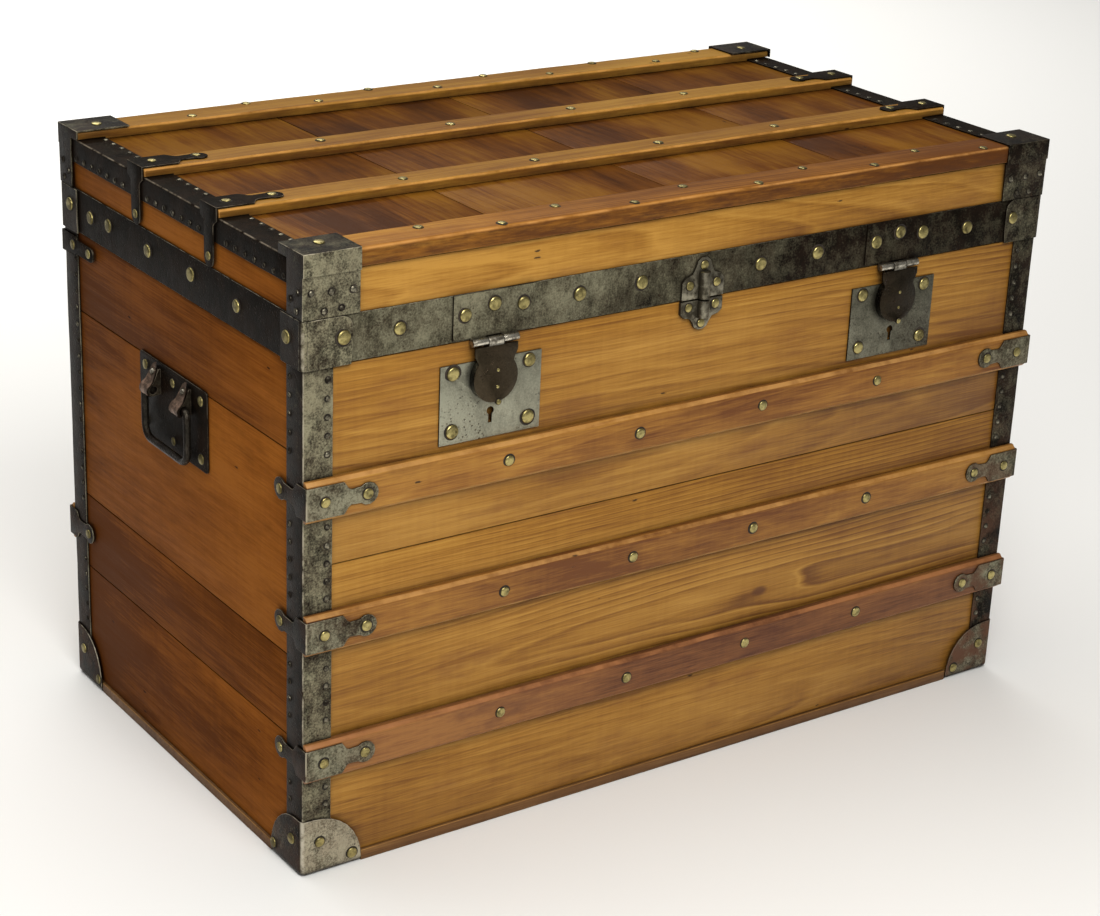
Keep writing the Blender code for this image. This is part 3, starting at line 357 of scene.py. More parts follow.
def iron(name, pale=(0.250, 0.235, 0.155), middle=(0.080, 0.073, 0.048), dark=(0.006, 0.0045, 0.003),
         worn=1.0, rust=0.5, pitted=0.75, roughness=0.46, metallic=0.5, contrast=1.0,
         edge=(0.46, 0.41, 0.31), edge_start=0.38, ground=0.05, wear_and_sheen_at_right=0.25, specular=0.05):
    """Old sheet iron: pale on the front's left from wear and a painted sheen, browner low on the right,
    black on the ends, darkened there as painted shade.
    """
    look = Look(name, specular, metallic)
    at = look.coordinates("Object")
    across = look.axis(at, "X")
    facing = look.coordinates("Normal")
    mottle = look.noise(at, 85.0, 8.0, 0.75, (1.0, 1.0, 0.7))
    fine = look.noise(at, 520.0, 4.0, 0.7)
    cloud = look.noise(at, 15.0, 5.0, 0.6)

    # Front and top faces paler, most on the left and less to the right: wear and a painted sheen of the
    # light.
    front = look.fade(look.axis(facing, "Y"), -0.30, -0.90)
    top = look.fade(look.axis(facing, "Z"), 0.5, 0.95, high=0.10)
    # End faces darker, as painted shade.
    end_face_shade = look.fade(abs(look.axis(facing, "X")), 0.50, 0.95, high=0.10)
    wear_and_sheen = (front + top) * look.fade(across, LEFT * 0.8, RIGHT * 0.85, 1.0, wear_and_sheen_at_right) * worn
    level = wear_and_sheen * 0.52 + ground - end_face_shade
    liveliness = wear_and_sheen * 0.4 + 0.6
    for part, share in ((mottle, 1.5), (fine, 1.1), (cloud, 1.1)):
        level += (part - 0.5) * (share * contrast) * liveliness
    colour = look.ramp(level, [(0.0, dark), (0.34, middle), (0.80, pale)])

    low = look.fade(look.axis(at, "Z"), 0.36, 0.08)
    right = look.fade(across, 0.05, 0.38, low=0.10)
    rust_spots = look.ramp(look.noise(at, 34.0, 7.0, 0.7), [(0.42, 0.0), (0.60, 1.0)])
    rusted = ((low * right + 0.18) * rust_spots * rust).clamped()
    colour = look.mix(rusted, colour, RUST_BROWN)
    pit = look.node("ShaderNodeTexVoronoi", {"Vector": at, "Scale": 300.0}, "Distance")
    pit_places = look.ramp(look.noise(at, 40.0, 4.0), [(0.47, 0.0), (0.62, 1.0)])
    pit = look.ramp(pit, [(0.12, 1.0), (0.32, 0.0)]) * pit_places
    colour = look.mix(pit * pitted, colour, PIT_BROWN)
    # Rubbed edges brighter, more on the left: rubbing and a painted highlight.
    rubbed = look.ramp(look.noise(at, 90.0, 4.0, 0.65), [(edge_start, 0.0), (edge_start + 0.2, 1.0)])
    rubbed = look.edges() * rubbed * 0.85 * look.fade(across, LEFT, RIGHT, 1.0, 0.2)
    colour = look.mix(rubbed, colour, edge)
    # Dirt and painted shade in corners, along plate edges and round the nail heads.
    dirt_and_shade = (look.corners(0.008) * 1.5).clamped()
    colour = look.mix(dirt_and_shade * 0.92, colour, IRON_DIRT_AND_SHADE)

    rough = (mottle * 0.4 + (roughness - 0.2) + rusted * 0.3 - rubbed * 0.15).clamped()
    height = mottle * 0.9 + fine * 0.3 - pit * 0.9
    return look.finish(colour, rough, height, 0.6, 0.0009)


def plated(name, bright, tarnish_and_shade_colour, roughness=0.28, spread=(0.42, 0.62), metallic=1.0):
    """Brass or plated steel that has tarnished in patches, darkened in its corners by tarnish and painted
    shade, and darkened all over on the ends as painted shade.
    """
    look = Look(name, metallic=metallic)
    at = look.coordinates("Object")
    # End faces dark all over, as painted shade.
    end_face_shade = look.fade(abs(look.axis(look.coordinates("Normal"), "X")), 0.55, 0.92, high=0.62)
    patches = look.noise(at, 140.0, 5.0, 0.6)
    tarnish_and_shade = look.ramp(patches, [(spread[0], 0.0), (spread[1], 1.0)]) + end_face_shade
    # Corners darker: tarnish and painted shade.
    tarnish_and_shade = (tarnish_and_shade + look.corners(0.003) * 1.3).clamped()
    colour = look.mix(tarnish_and_shade, bright, tarnish_and_shade_colour)
    scratches = look.noise(at, 500.0, 3.0)
    return look.finish(colour, tarnish_and_shade * 0.3 + roughness, scratches + patches, 0.25, 0.0003)


FRONT_WOOD = wood(
    "front_wood", (0.43, 0.220, 0.040), (0.300, 0.136, 0.019), (0.150, 0.056, 0.009),
    ring=0.54, blotch=0.50, streak=0.34,
)
END_WOOD = wood(
    "end_wood", (0.310, 0.104, 0.014), (0.215, 0.066, 0.008), (0.105, 0.030, 0.004),
    ring_width=0.007, ring=0.16, streak=0.24, blotch=0.8, gloss=0.55, specular=0.02, coat=0.0,
    stain=(0.085, 0.022, 0.003), worn_edge=(0.36, 0.15, 0.03),
)
TOP_WOOD = wood(
    "top_wood", (0.190, 0.078, 0.008), (0.112, 0.036, 0.004), (0.048, 0.014, 0.002),
    ring_width=0.006, ring=0.22, streak=0.30, blotch=1.2, gloss=0.36, coat=0.0, specular=0.03,
    stain=(0.062, 0.018, 0.003), worn_edge=(0.30, 0.14, 0.03),
)
LID_SLAT_WOOD = wood(
    "lid_slat_wood", (0.42, 0.225, 0.036), (0.290, 0.138, 0.020), (0.150, 0.056, 0.010),
    ring=0.25, gloss=0.36, scuffed=0.55, worn_edge=(0.55, 0.27, 0.07), coat=0.0, specular=0.07,
    stain=(0.14, 0.050, 0.008),
)
LID_FRONT_WOOD = wood(
    "lid_front_wood", (0.44, 0.215, 0.036), (0.270, 0.108, 0.016), (0.115, 0.038, 0.007),
    ring=0.25, gloss=0.36, scuffed=0.9, stained=0.6, worn_edge=(0.50, 0.24, 0.07), coat=0.0, specular=0.07,
    stain=(0.12, 0.038, 0.006),
)
FRONT_SLAT_WOOD = wood(
    "front_slat_wood", (0.41, 0.205, 0.038), (0.280, 0.120, 0.021), (0.135, 0.045, 0.010),
    ring=0.35, blotch=0.75, stain=(0.110, 0.033, 0.009), stained=0.7, worn_edge=(0.50, 0.26, 0.08),
)
LOW_SLAT_WOOD = wood(
    "low_slat_wood", (0.30, 0.130, 0.036), (0.190, 0.073, 0.023), (0.085, 0.028, 0.012),
    ring=0.25, blotch=0.9, stain=(0.078, 0.024, 0.017), stained=0.8, worn_edge=(0.38, 0.16, 0.06),
)
EDGE_WOOD = wood(
    "edge_wood", (0.27, 0.140, 0.045), (0.175, 0.080, 0.024), (0.080, 0.032, 0.010), ring=0.3, gloss=0.5,
)
CAP_IRON = iron(
    "cap_iron", pale=(0.275, 0.255, 0.165), edge=(0.46, 0.41, 0.31), edge_start=0.37, contrast=1.45,
    ground=-0.02, metallic=0.40,
)
CLAMP_IRON = iron(
    "clamp_iron", pale=(0.285, 0.270, 0.185), edge=(0.44, 0.39, 0.29), edge_start=0.38, contrast=1.3,
    rust=0.8, wear_and_sheen_at_right=0.75,
)
BASE_CAP_IRON = iron(
    "base_cap_iron", pale=(0.44, 0.40, 0.29), middle=(0.15, 0.132, 0.090), worn=1.2, rust=1.0, pitted=1.0,
    edge=(0.58, 0.53, 0.42), edge_start=0.36, contrast=1.3,
)
BAND_IRON = iron(
    "band_iron", pale=(0.200, 0.188, 0.125), middle=(0.062, 0.056, 0.036), worn=1.1, rust=0.25,
    ground=-0.06, wear_and_sheen_at_right=0.08, metallic=0.10, specular=0.02,
)
DARK_IRON = iron(
    "dark_iron", pale=(0.10, 0.092, 0.066), middle=(0.028, 0.024, 0.016), worn=0.5, rust=0.3,
    roughness=0.40, ground=-0.04, edge=(0.24, 0.20, 0.15), wear_and_sheen_at_right=0.1, metallic=0.10, specular=0.01,
)
BAIL_IRON = iron(
    "bail_iron", pale=(0.10, 0.092, 0.066), middle=(0.024, 0.021, 0.016), worn=0.5, rust=0.3,
    roughness=0.36, ground=0.02, edge=(0.085, 0.075, 0.058), edge_start=0.46, specular=0.12,
)
LOCK_IRON = iron(
    "lock_iron", pale=(0.38, 0.375, 0.285), middle=(0.19, 0.183, 0.135), dark=(0.030, 0.026, 0.018),
    worn=1.25, rust=0.15, pitted=0.7, roughness=0.36, metallic=0.85, contrast=0.7, specular=0.12,
)
HASP_IRON = iron(
    "hasp_iron", pale=(0.12, 0.095, 0.062), middle=(0.050, 0.038, 0.023), worn=0.6, rust=0.2,
    roughness=0.32, metallic=0.85, contrast=0.35, specular=0.12,
)
BRIGHT_STEEL = plated("bright_steel", (0.70, 0.65, 0.54), (0.13, 0.115, 0.09), 0.22)
CLASP_STEEL = plated("clasp_steel", (0.30, 0.275, 0.205), (0.062, 0.054, 0.038), 0.32, (0.35, 0.62))
BRASS = plated("old_brass", (0.47, 0.395, 0.160), (0.120, 0.098, 0.040), 0.26, (0.42, 0.68))
RUSTY_STEEL = plated("rusty_steel", (0.44, 0.285, 0.205), (0.105, 0.068, 0.048), 0.34, (0.42, 0.66), 0.7)
# The dark ring round nail heads: grime and a painted shadow.
GRIME_AND_SHADOW = plated("grime", (0.030, 0.018, 0.009), (0.012, 0.008, 0.005), 0.6, (0.35, 0.65), 0.0)
TACK_STEEL = plated("tack_steel", (0.26, 0.238, 0.175), (0.026, 0.021, 0.016), 0.30, (0.40, 0.62))


# Mesh helpers


def box_shape(low, high):
    low, high = Vector(low), Vector(high)
    shape = bmesh.new()
    place = Matrix.Translation((low + high) / 2) @ Matrix.Diagonal((high - low).to_4d())
    bmesh.ops.create_cube(shape, size=1.0, matrix=place)
    return shape


def finish_piece(name, shape, materials, body, replaced=(), sharp_deg=40):
    """Turn a bmesh into a shown piece that rides on its body and stands for its CAD nodes."""
    mesh = bpy.data.meshes.new(name)
    shape.to_mesh(mesh)
    shape.free()
    for material in materials:
        mesh.materials.append(material)
    mesh.shade_smooth()
    mesh.set_sharp_from_angle(angle=math.radians(sharp_deg))
    piece = bpy.data.objects.new(name, mesh)
    bpy.context.scene.collection.objects.link(piece)
    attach(piece, body)
    if replaced:
        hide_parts(*replaced)


def body_of(node):
    return frame["nodes"][node]["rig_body"]


def cad_shape(node):
    """The CAD node's surface with its flat faces whole again."""
    shape = bmesh.new()
    shape.from_mesh(frame["nodes"][node].data)
    bmesh.ops.remove_doubles(shape, verts=shape.verts, dist=0.000005)
    flat = math.radians(0.5)
    bmesh.ops.dissolve_limit(shape, angle_limit=flat, verts=shape.verts, edges=shape.edges)
    return shape


def soften(shape, width, segments=2, sharper_than_deg=30):
    """Round every crisp edge."""
    limit = math.radians(sharper_than_deg)
    crisp = [edge for edge in shape.edges if edge.is_manifold and edge.calc_face_angle(0.0) > limit]
    bmesh.ops.bevel(
        shape, geom=crisp, offset=width, offset_type="OFFSET", segments=segments, profile=0.5,
        affect="EDGES", clamp_overlap=True,
    )


def mark_grain(shape, along, across, seed, tone=0.0, ageing=0.0, pith=0.05, slope=None, heart=None,
               knot=None):
    """Give each vertex its place in the board's own grain, measured from the tree's heart.

    The heart lies at the pith's depth and at the heart's place across the board, and it drops away
    along the board by the slope. The board is painted darker towards its right or back end, as shade of the
    light's falloff.
    """
    for kind, name in (("float_vector", "grain"), ("float_vector", "knot"), ("float", "tone")):
        layers = getattr(shape.verts.layers, kind)
        layers.get(name) or layers.new(name)
    grain_layer = shape.verts.layers.float_vector["grain"]
    knot_layer = shape.verts.layers.float_vector["knot"]
    tone_layer = shape.verts.layers.float["tone"]
    chance = random.Random(seed)
    depth = 3 - along - across
    verts = list(shape.verts)
    middle = sum((vert.co for vert in verts), Vector()) / len(verts)
    reach = max(abs(vert.co[along] - middle[along]) for vert in verts)
    start = chance.uniform(-4.0, 4.0)
    if heart is None:
        heart = middle[across] + chance.uniform(-0.35, 0.35) * pith
    if slope is None:
        slope = chance.choice((-1.0, 1.0)) * chance.uniform(0.02, 0.05)
    shade = tone + chance.uniform(-0.07, 0.07)
    knot_place = Vector((1000.0, 0.0, 0.0))
    if knot:
        knot_place = Vector((knot[0] + start, knot[1] - heart, 0.0))
    for vert in verts:
        vert[grain_layer] = Vector((
            vert.co[along] + start,
            vert.co[across] - heart,
            vert.co[depth] - middle[depth] + pith + slope * (vert.co[along] - middle[along]),
        ))
        # Painted shade: the tone darkens towards the board's right or back end.
        vert[tone_layer] = shade + ageing * (vert.co[along] - middle[along]) / reach
        vert[knot_layer] = knot_place


def carved(shape, pockets):
    """Cut box-shaped pockets out of a bmesh."""
    names = ["carved"] + ["pocket"] * len(pockets)
    objects = []
    for name, solid in zip(names, [shape] + [box_shape(low, high) for low, high in pockets]):
        mesh = bpy.data.meshes.new(name)
        solid.to_mesh(mesh)
        solid.free()
        objects.append(bpy.data.objects.new(name, mesh))
        bpy.context.scene.collection.objects.link(objects[-1])
    whole = objects[0]
    for cutter in objects[1:]:
        modifier = whole.modifiers.new("pocket", "BOOLEAN")
        modifier.operation = "DIFFERENCE"
        modifier.object = cutter
    bpy.context.view_layer.update()
    cut_object = whole.evaluated_get(bpy.context.evaluated_depsgraph_get())
    cut_mesh = bpy.data.meshes.new_from_object(cut_object)
    result = bmesh.new()
    result.from_mesh(cut_mesh)
    for spare in objects:
        bpy.data.objects.remove(spare, do_unlink=True)
    bpy.data.meshes.remove(cut_mesh)
    return result


def join(shape, part):
    """Move one bmesh into another."""
    mesh = bpy.data.meshes.new("part")
    part.to_mesh(mesh)
    part.free()
    shape.from_mesh(mesh)
    bpy.data.meshes.remove(mesh)


def add_board(shape, low, high, along, across, seed, edge=0.0007, pockets=(), material_index=0, **grain):
    """A plank with softened edges."""
    plank = box_shape(low, high)
    bmesh.ops.bevel(plank, geom=plank.edges[:], offset=edge, segments=2, profile=0.5, affect="EDGES")
    if pockets:
        plank = carved(plank, pockets)
    mark_grain(plank, along, across, seed, **grain)
    for face in plank.faces:
        face.material_index = material_index
    join(shape, plank)


def dent(shape, amount, scale, seed):
    """Push the surface gently in and out, as hammered or handled metal is."""
    offset = Vector((seed * 7.3, seed * 3.1, seed * 1.7))
    shape.normal_update()
    moves = [(vert, noise.noise_vector((vert.co + offset) * scale) * amount) for vert in shape.verts]
    for vert, move in moves:
        vert.co += move


def divide(shape, longest):
    """Cut long edges so that no edge is longer than the given length."""
    for _ in range(6):
        long_edges = [edge for edge in shape.edges if edge.calc_length() > longest]
        if not long_edges:
            return
        bmesh.ops.subdivide_edges(shape, edges=long_edges, cuts=1, use_grid_fill=True)


# Wooden pieces


def make_boards(name, node, along, across, seams, material, slot, seed, special=None, **grain):
    """Cover a panel's space with planks side by side; special holds what sets single planks apart."""
    low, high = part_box(node)
    shape = bmesh.new()
    stops = [low[across], *seams, high[across]]
    for index, (start, end) in enumerate(zip(stops, stops[1:])):
        near, far = low.copy(), high.copy()
        near[across] = start + SEAM_GAP * (index > 0)
        far[across] = end - SEAM_GAP * (index < len(seams))
        own = {**grain, **(special or {}).get(index, {})}
        add_board(shape, near, far, along, across, seed + index, **own)
    finish_piece(name, shape, [material], body_of(node), [node])


def make_carcass():
    pockets = []
    for side in ("left", "right"):
        lock_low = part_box("lock_" + side)[0]
        bolt_low, bolt_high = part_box("lock_bolt_" + side)
        low, high = bolt_low - BOLT_ROOM, bolt_high + BOLT_ROOM
        low.y = lock_low.y
        pockets.append((low, high))
    make_boards(
        "front_boards", "front_panel", X, Z, WALL_SEAMS, FRONT_WOOD, "front_wood", 11, ageing=0.06,
        special={
            0: {"pith": 0.07, "slope": 0.03, "heart": 0.03},
            1: {"pith": 0.047, "slope": -0.0225, "heart": 0.162, "knot": (0.091, 0.160)},
            2: {"pith": 0.16, "slope": 0.02, "heart": 0.33, "pockets": pockets},
        },
    )
    make_boards("back_boards", "back_panel", X, Z, WALL_SEAMS, FRONT_WOOD, "front_wood", 31)
    end_boards = {index: {"tone": tone} for index, tone in enumerate(END_BOARD_SHADING)}
    for side, seed in (("left", 41), ("right", 51)):
        make_boards(
            side + "_end_boards", side + "_end_panel", Y, Z, END_SEAMS, END_WOOD, "dark_wood", seed,
            special=end_boards, pith=0.12, ageing=0.20,
        )
    shape = cad_shape("bottom_panel")
    soften(shape, 0.0014, 3)
    mark_grain(shape, X, Y, 61)
    finish_piece("bottom_board", shape, [EDGE_WOOD], "trunk_body", ["bottom_panel"])


def make_lid_wood():
    top_seams = [LEFT + step for step in TOP_SEAMS]
    make_boards(
        "lid_top_boards", "lid_top_panel", Y, X, top_seams, TOP_WOOD, "dark_wood", 71, pith=0.10,
    )
    low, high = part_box("lid_frame")
    thick = WOOD_HIGH.y - WOOD_LOW.y
    shape = bmesh.new()
    add_board(shape, low, (high.x, low.y + thick, high.z), X, Z, 81, pith=0.12, ageing=0.12)
    add_board(shape, (low.x, high.y - thick, low.z), high, X, Z, 82, pith=0.12)
    for near, far in ((low.x, low.x + thick), (high.x - thick, high.x)):
        add_board(
            shape, (near, low.y + thick, low.z), (far, high.y - thick, high.z), Y, Z, 83,
            material_index=1, tone=-0.02, pith=0.12,
        )
    finish_piece("lid_rails", shape, [FRONT_WOOD, END_WOOD], "lid", ["lid_frame"])


def make_slat(node, material, seed, rounding, tone=0.0, ageing=0.0):
    """A slat with rounded arrises that isn't quite straight."""
    shape = cad_shape(node)
    soften(shape, rounding, 3)
    for cut in range(1, SLAT_CUTS):
        bmesh.ops.bisect_plane(
            shape, geom=shape.verts[:] + shape.edges[:] + shape.faces[:],
            plane_co=(LEFT + WIDTH * cut / SLAT_CUTS, 0.0, 0.0), plane_no=(1.0, 0.0, 0.0),
        )
    mark_grain(shape, X, Z, seed, tone=tone, ageing=ageing, pith=0.05)
    for vert in shape.verts:
        x, y, z = vert.co
        inside = min(1.0, max(0.0, (RIGHT - abs(x) - STRAIGHT_END) / 0.05))
        sway = noise.noise_vector(Vector((x * 9.0, seed * 3.7, 0.0))) * 0.0005
        nibble = noise.noise_vector(Vector((x * 55.0, y * 90.0, z * 90.0))) * 0.00022
        vert.co.y += (sway.y + nibble.y) * inside
        vert.co.z += (sway.z + nibble.z) * inside
    name = "slat_" + node.replace("_slat", "")
    finish_piece(name, shape, [material], body_of(node), [node])


def make_slats():
    make_slat("front_slat_upper", FRONT_SLAT_WOOD, 91, 0.0012, tone=0.05, ageing=0.06)
    make_slat("front_slat_middle", FRONT_SLAT_WOOD, 92, 0.0012, tone=0.04, ageing=0.03)
    make_slat("front_slat_lower", LOW_SLAT_WOOD, 93, 0.0012, tone=0.05, ageing=0.05)
    make_slat("back_slat", FRONT_SLAT_WOOD, 94, 0.0012)
    make_slat("lid_slat_front", LID_FRONT_WOOD, 101, 0.0024, tone=0.07, ageing=0.30)
    make_slat("lid_slat_middle_front", LID_SLAT_WOOD, 102, 0.0011)
    make_slat("lid_slat_middle_back", LID_SLAT_WOOD, 103, 0.0011)
    make_slat("lid_slat_back", LID_SLAT_WOOD, 104, 0.0020)


# Iron pieces


def round_outer_corner(shape, radius, flat_too):
    """Round the edges where the piece's outermost planes meet: its end, its face, its top or foot."""
    reach = 0.0026
    far = [max(abs(vert.co[axis]) for vert in shape.verts) for axis in (X, Y)]
    levels = (min(vert.co.z for vert in shape.verts), max(vert.co.z for vert in shape.verts))
    outer_level = levels[0] if levels[0] < 0.001 else levels[1]

    def planes(vert):
        on = {axis for axis in (X, Y) if abs(vert.co[axis]) > far[axis] - reach}
        if flat_too and abs(vert.co.z - outer_level) < 0.0001:
            on.add(Z)
        return on

    edges = [
        edge for edge in shape.edges
        if edge.calc_length() > 0.004 and len(planes(edge.verts[0]) & planes(edge.verts[1])) >= 2
        and edge.calc_face_angle(0.0) > 1.0
    ]
    bmesh.ops.bevel(
        shape, geom=edges, offset=radius, segments=5, profile=0.5, affect="EDGES", clamp_overlap=True,
    )


def make_fitting(node, material, rounding=0.0004, longest=None, dents=0.0, seed=1,
                 bright_axis=None, corner=0.0, corner_flat=False):
    """A refined copy of a CAD fitting: softened edges, slight dents, and a bright barrel if it has one."""
    shape = cad_shape(node)
    if corner:
        round_outer_corner(shape, corner, flat_too=corner_flat)
    soften(shape, rounding, 2)
    if longest:
        divide(shape, longest)
    if dents:
        dent(shape, dents, 28.0, seed)
    materials = [material]
    if bright_axis:
        materials.append(BRIGHT_STEEL)
        axis_y, axis_z, radius = bright_axis
        for face in shape.faces:
            centre = face.calc_center_median()
            if math.hypot(centre.y - axis_y, centre.z - axis_z) < radius:
                face.material_index = 1
    finish_piece("worn_" + node, shape, materials, body_of(node), [node])


def make_flat_irons():
    for row in ("front", "back"):
        for side in ("left", "right"):
            node = f"corner_binding_{row}_{side}"
            make_fitting(node, CAP_IRON, longest=0.03, dents=0.0003, seed=len(row + side))
            make_band_lap(row, side)
    for side in ("left", "right"):
        make_fitting("lid_end_binding_" + side, DARK_IRON, longest=0.03, dents=0.0003, seed=3)
        for row in ("front", "back"):
            make_fitting(f"lid_slat_clamp_{row}_{side}", DARK_IRON)
        for row in ("upper", "middle", "lower", "back"):
            make_fitting(f"slat_clamp_{row}_{side}", CLAMP_IRON, corner=0.0022)
    make_fitting("lid_band", BAND_IRON, longest=0.04, dents=0.0003, seed=6)


def plate_with_round_end(length, low, high, radius):
    """Outline of a strap's end as (along, height) points, from the corner outwards."""
    points = [(0.0, low), (length - 0.0012, low), (length, low + 0.012)]
    for step in range(9):
        angle = math.radians(90.0 * step / 8)
        along, up = radius * math.cos(angle), radius * math.sin(angle)
        points.append((length - radius + along, high - radius + up))
    return points + [(0.0, high)]


def make_band_lap(row, side):
    """The strap that wraps the corner over the band."""
    across, outward = (-1 if side == "left" else 1), (-1 if row == "front" else 1)
    shape = bmesh.new()
    low, high = BAND_LOW.z - LAP_OVERHANG, BAND_HIGH.z
    hang = LAP_FACE - BACK
    corner = LAP_CORNER
    front_outline = plate_with_round_end(LAP_FRONT_LENGTH, low, high, LAP_END_RADIUS)
    side_outline = [(0.0, low), (LAP_SIDE_LENGTH, low), (LAP_SIDE_LENGTH, high), (0.0, high)]
    turn = [math.radians(90.0 * step / 6) for step in range(7)]

    def place(along, height, inset, on_front):
        if on_front:
            spot = (across * (RIGHT - max(along, corner)), outward * (BACK - inset), height)
        else:
            spot = (across * (RIGHT - inset), outward * (BACK - max(along, corner)), height)
        return Vector(spot)

    for outline, on_front in ((front_outline, True), (side_outline, False)):
        outer = [shape.verts.new(place(along, height, -hang, on_front)) for along, height in outline]
        inner = [shape.verts.new(place(along, height, IRON - hang, on_front)) for along, height in outline]
        shape.faces.new(outer)
        shape.faces.new(list(reversed(inner)))
        for step in range(len(outline)):
            after = (step + 1) % len(outline)
            shape.faces.new((outer[step], inner[step], inner[after], outer[after]))
    centre_x, centre_y = RIGHT - corner, BACK - corner
    rings = []
    for angle in turn:
        ring = []
        for reach, height in (
            (corner + hang, low), (corner + hang, high), (corner - IRON, high), (corner - IRON, low),
        ):
            ring.append(shape.verts.new(Vector((
                across * (centre_x + reach * math.cos(angle)),
                outward * (centre_y + reach * math.sin(angle)),
                height,
            ))))
        rings.append(ring)
    for first, second in zip(rings, rings[1:]):
        for step in range(4):
            after = (step + 1) % 4
            shape.faces.new((first[step], first[after], second[after], second[step]))
    shape.faces.new(rings[0])
    shape.faces.new(list(reversed(rings[-1])))
    bmesh.ops.recalc_face_normals(shape, faces=shape.faces)
    soften(shape, 0.0003, 1, sharper_than_deg=60)
    finish_piece(f"band_lap_{row}_{side}", shape, [CAP_IRON], "lid")


# Nails


def add_nail(shape, at, normal, radius, height, chance, sides, crown, grimy=False):
    """A nail head: a short wall, a rounded rim and a slightly crowned top, perhaps in a dark ring of grime
    and painted shadow.
    """
    profile = [
        (1.0, -0.25), (1.0, 0.38), (0.955, 0.62), (0.86, 1.0 - crown * 0.75), (0.62, 1.0 - crown * 0.35),
        (0.32, 1.0 - crown * 0.08),
    ]
    # The wider dark ring is grime and a painted shadow.
    if grimy:
        spread = chance.uniform(1.16, 1.34)
        profile = [(spread, -0.25), (spread - 0.03, 0.04), (1.0, 0.10)] + profile[1:]
    tilt = Vector([chance.uniform(-0.05, 0.05) for _ in range(3)])
    turn = (Vector(normal) + tilt).to_track_quat("Z", "Y").to_matrix().to_4x4()
    place = Matrix.Translation(at) @ turn
    radius *= chance.uniform(0.95, 1.05)
    rings = []
    for share, level in profile:
        rings.append([
            shape.verts.new(place @ Vector((
                share * radius * math.cos(2 * math.pi * step / sides),
                share * radius * math.sin(2 * math.pi * step / sides),
                level * height,
            )))
            for step in range(sides)
        ])
    shape.faces.new(list(reversed(rings[0])))
    for level, (lower, upper) in enumerate(zip(rings, rings[1:])):
        for step in range(sides):
            after = (step + 1) % sides
            face = shape.faces.new((lower[step], lower[after], upper[after], upper[step]))
            face.material_index = 1 if grimy and level < 2 else 0
    tip = shape.verts.new(place @ Vector((0.0, 0.0, height)))
    last = rings[-1]
    for step in range(sides):
        shape.faces.new((last[step], last[(step + 1) % sides], tip))


class NailSet:
    """Nail heads that are gathered into one piece for each body."""

    def __init__(self, name, material, slot, head, sides, crown, seed):
        self.name = name
        self.material = material
        self.slot = slot
        self.head = head
        self.look = {"sides": sides, "crown": crown, "grimy": True}
        self.chance = random.Random(seed)
        self.shapes = {}

    def add(self, body, at, normal, scale=1.0):
        shape = self.shapes.setdefault(body, bmesh.new())
        radius, height = self.head
        add_nail(shape, Vector(at), normal, radius * scale, height * scale, self.chance, **self.look)

    def finish(self):
        for body, shape in self.shapes.items():
            materials = [self.material, GRIME_AND_SHADOW]
            finish_piece(f"{self.name}_{body}", shape, materials, body, sharp_deg=60)


TOWARDS_FRONT = (0.0, -1.0, 0.0)
TOWARDS_BACK = (0.0, 1.0, 0.0)
UP = (0.0, 0.0, 1.0)
SIDES = ((-1, LEFT), (1, RIGHT))


def spaced(start, end, step):
    """Even places from start to end, about one step apart."""
    count = max(1, round((end - start) / step))
    return [start + (end - start) * index / count for index in range(count + 1)]


def make_nails():
    brass = NailSet("brass_nails", BRASS, "brass", BRASS_HEAD, 24, 0.2, 5)
    slat = NailSet("slat_nails", BRASS, "brass", SLAT_HEAD, 20, 0.35, 6)
    tack = NailSet("iron_tacks", TACK_STEEL, "iron", TACK_HEAD, 12, 0.75, 7)

    make_slat_nails(slat)
    make_band_nails(brass)
    make_lid_nails(slat, tack)
    make_lock_nails(brass, slat)
    make_corner_nails(brass, tack)
    make_handle_nails(slat)
    for nails in (brass, slat, tack):
        nails.finish()


def middle_of(node):
    """The middle of a CAD node's box."""
    low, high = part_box(node)
    return (low + high) / 2


def make_slat_nails(slat):
    heights = [middle_of(f"front_slat_{row}").z for row in ("upper", "middle", "lower")]
    places = [LEFT + 0.060 + SLAT_NAIL_STEP * step for step in range(1, 5)]
    for height in heights:
        for x in places:
            lift = slat.chance.uniform(-0.002, 0.002)
            slat.add("trunk_body", (x, SLAT_FACE, height + lift), TOWARDS_FRONT)
    back_height = middle_of("back_slat").z
    for x in places:
        slat.add("trunk_body", (x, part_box("back_slat")[1].y, back_height), TOWARDS_BACK)

    for side, edge in SIDES:
        for height in heights:
            for inset in CLAMP_NAILS:
                slat.add("trunk_body", (edge - side * inset, CLAMP_FACE, height), TOWARDS_FRONT)
            slat.add("trunk_body", (edge, FRONT + CLAMP_END_NAIL, height), (side, 0, 0))
        for inset in CLAMP_NAILS:
            slat.add("trunk_body", (edge - side * inset, -CLAMP_FACE, back_height), TOWARDS_BACK)
        slat.add("trunk_body", (edge, BACK - CLAMP_END_NAIL, back_height), (side, 0, 0))


def make_band_nails(brass):
    band_height = (BAND_LOW.z + BAND_HIGH.z) / 2 + 0.002
    for inset in BAND_NAILS:
        lift = brass.chance.uniform(-0.0015, 0.0015)
        depth = LAP_FACE if min(inset, WIDTH - inset) < LAP_FRONT_LENGTH else BAND_HIGH.y
        brass.add("lid", (LEFT + inset, -depth, band_height + lift), TOWARDS_FRONT)
        brass.add("lid", (LEFT + inset, depth, band_height + lift), TOWARDS_BACK)
    for side, edge in SIDES:
        for inset in BAND_END_NAILS:
            lift = brass.chance.uniform(-0.002, 0.002)
            sunk = LAP_FACE - BACK if min(inset, DEPTH - inset) < LAP_SIDE_LENGTH else -IRON_LAYER
            brass.add("lid", (edge + side * sunk, FRONT + inset, band_height + lift), (side, 0, 0))


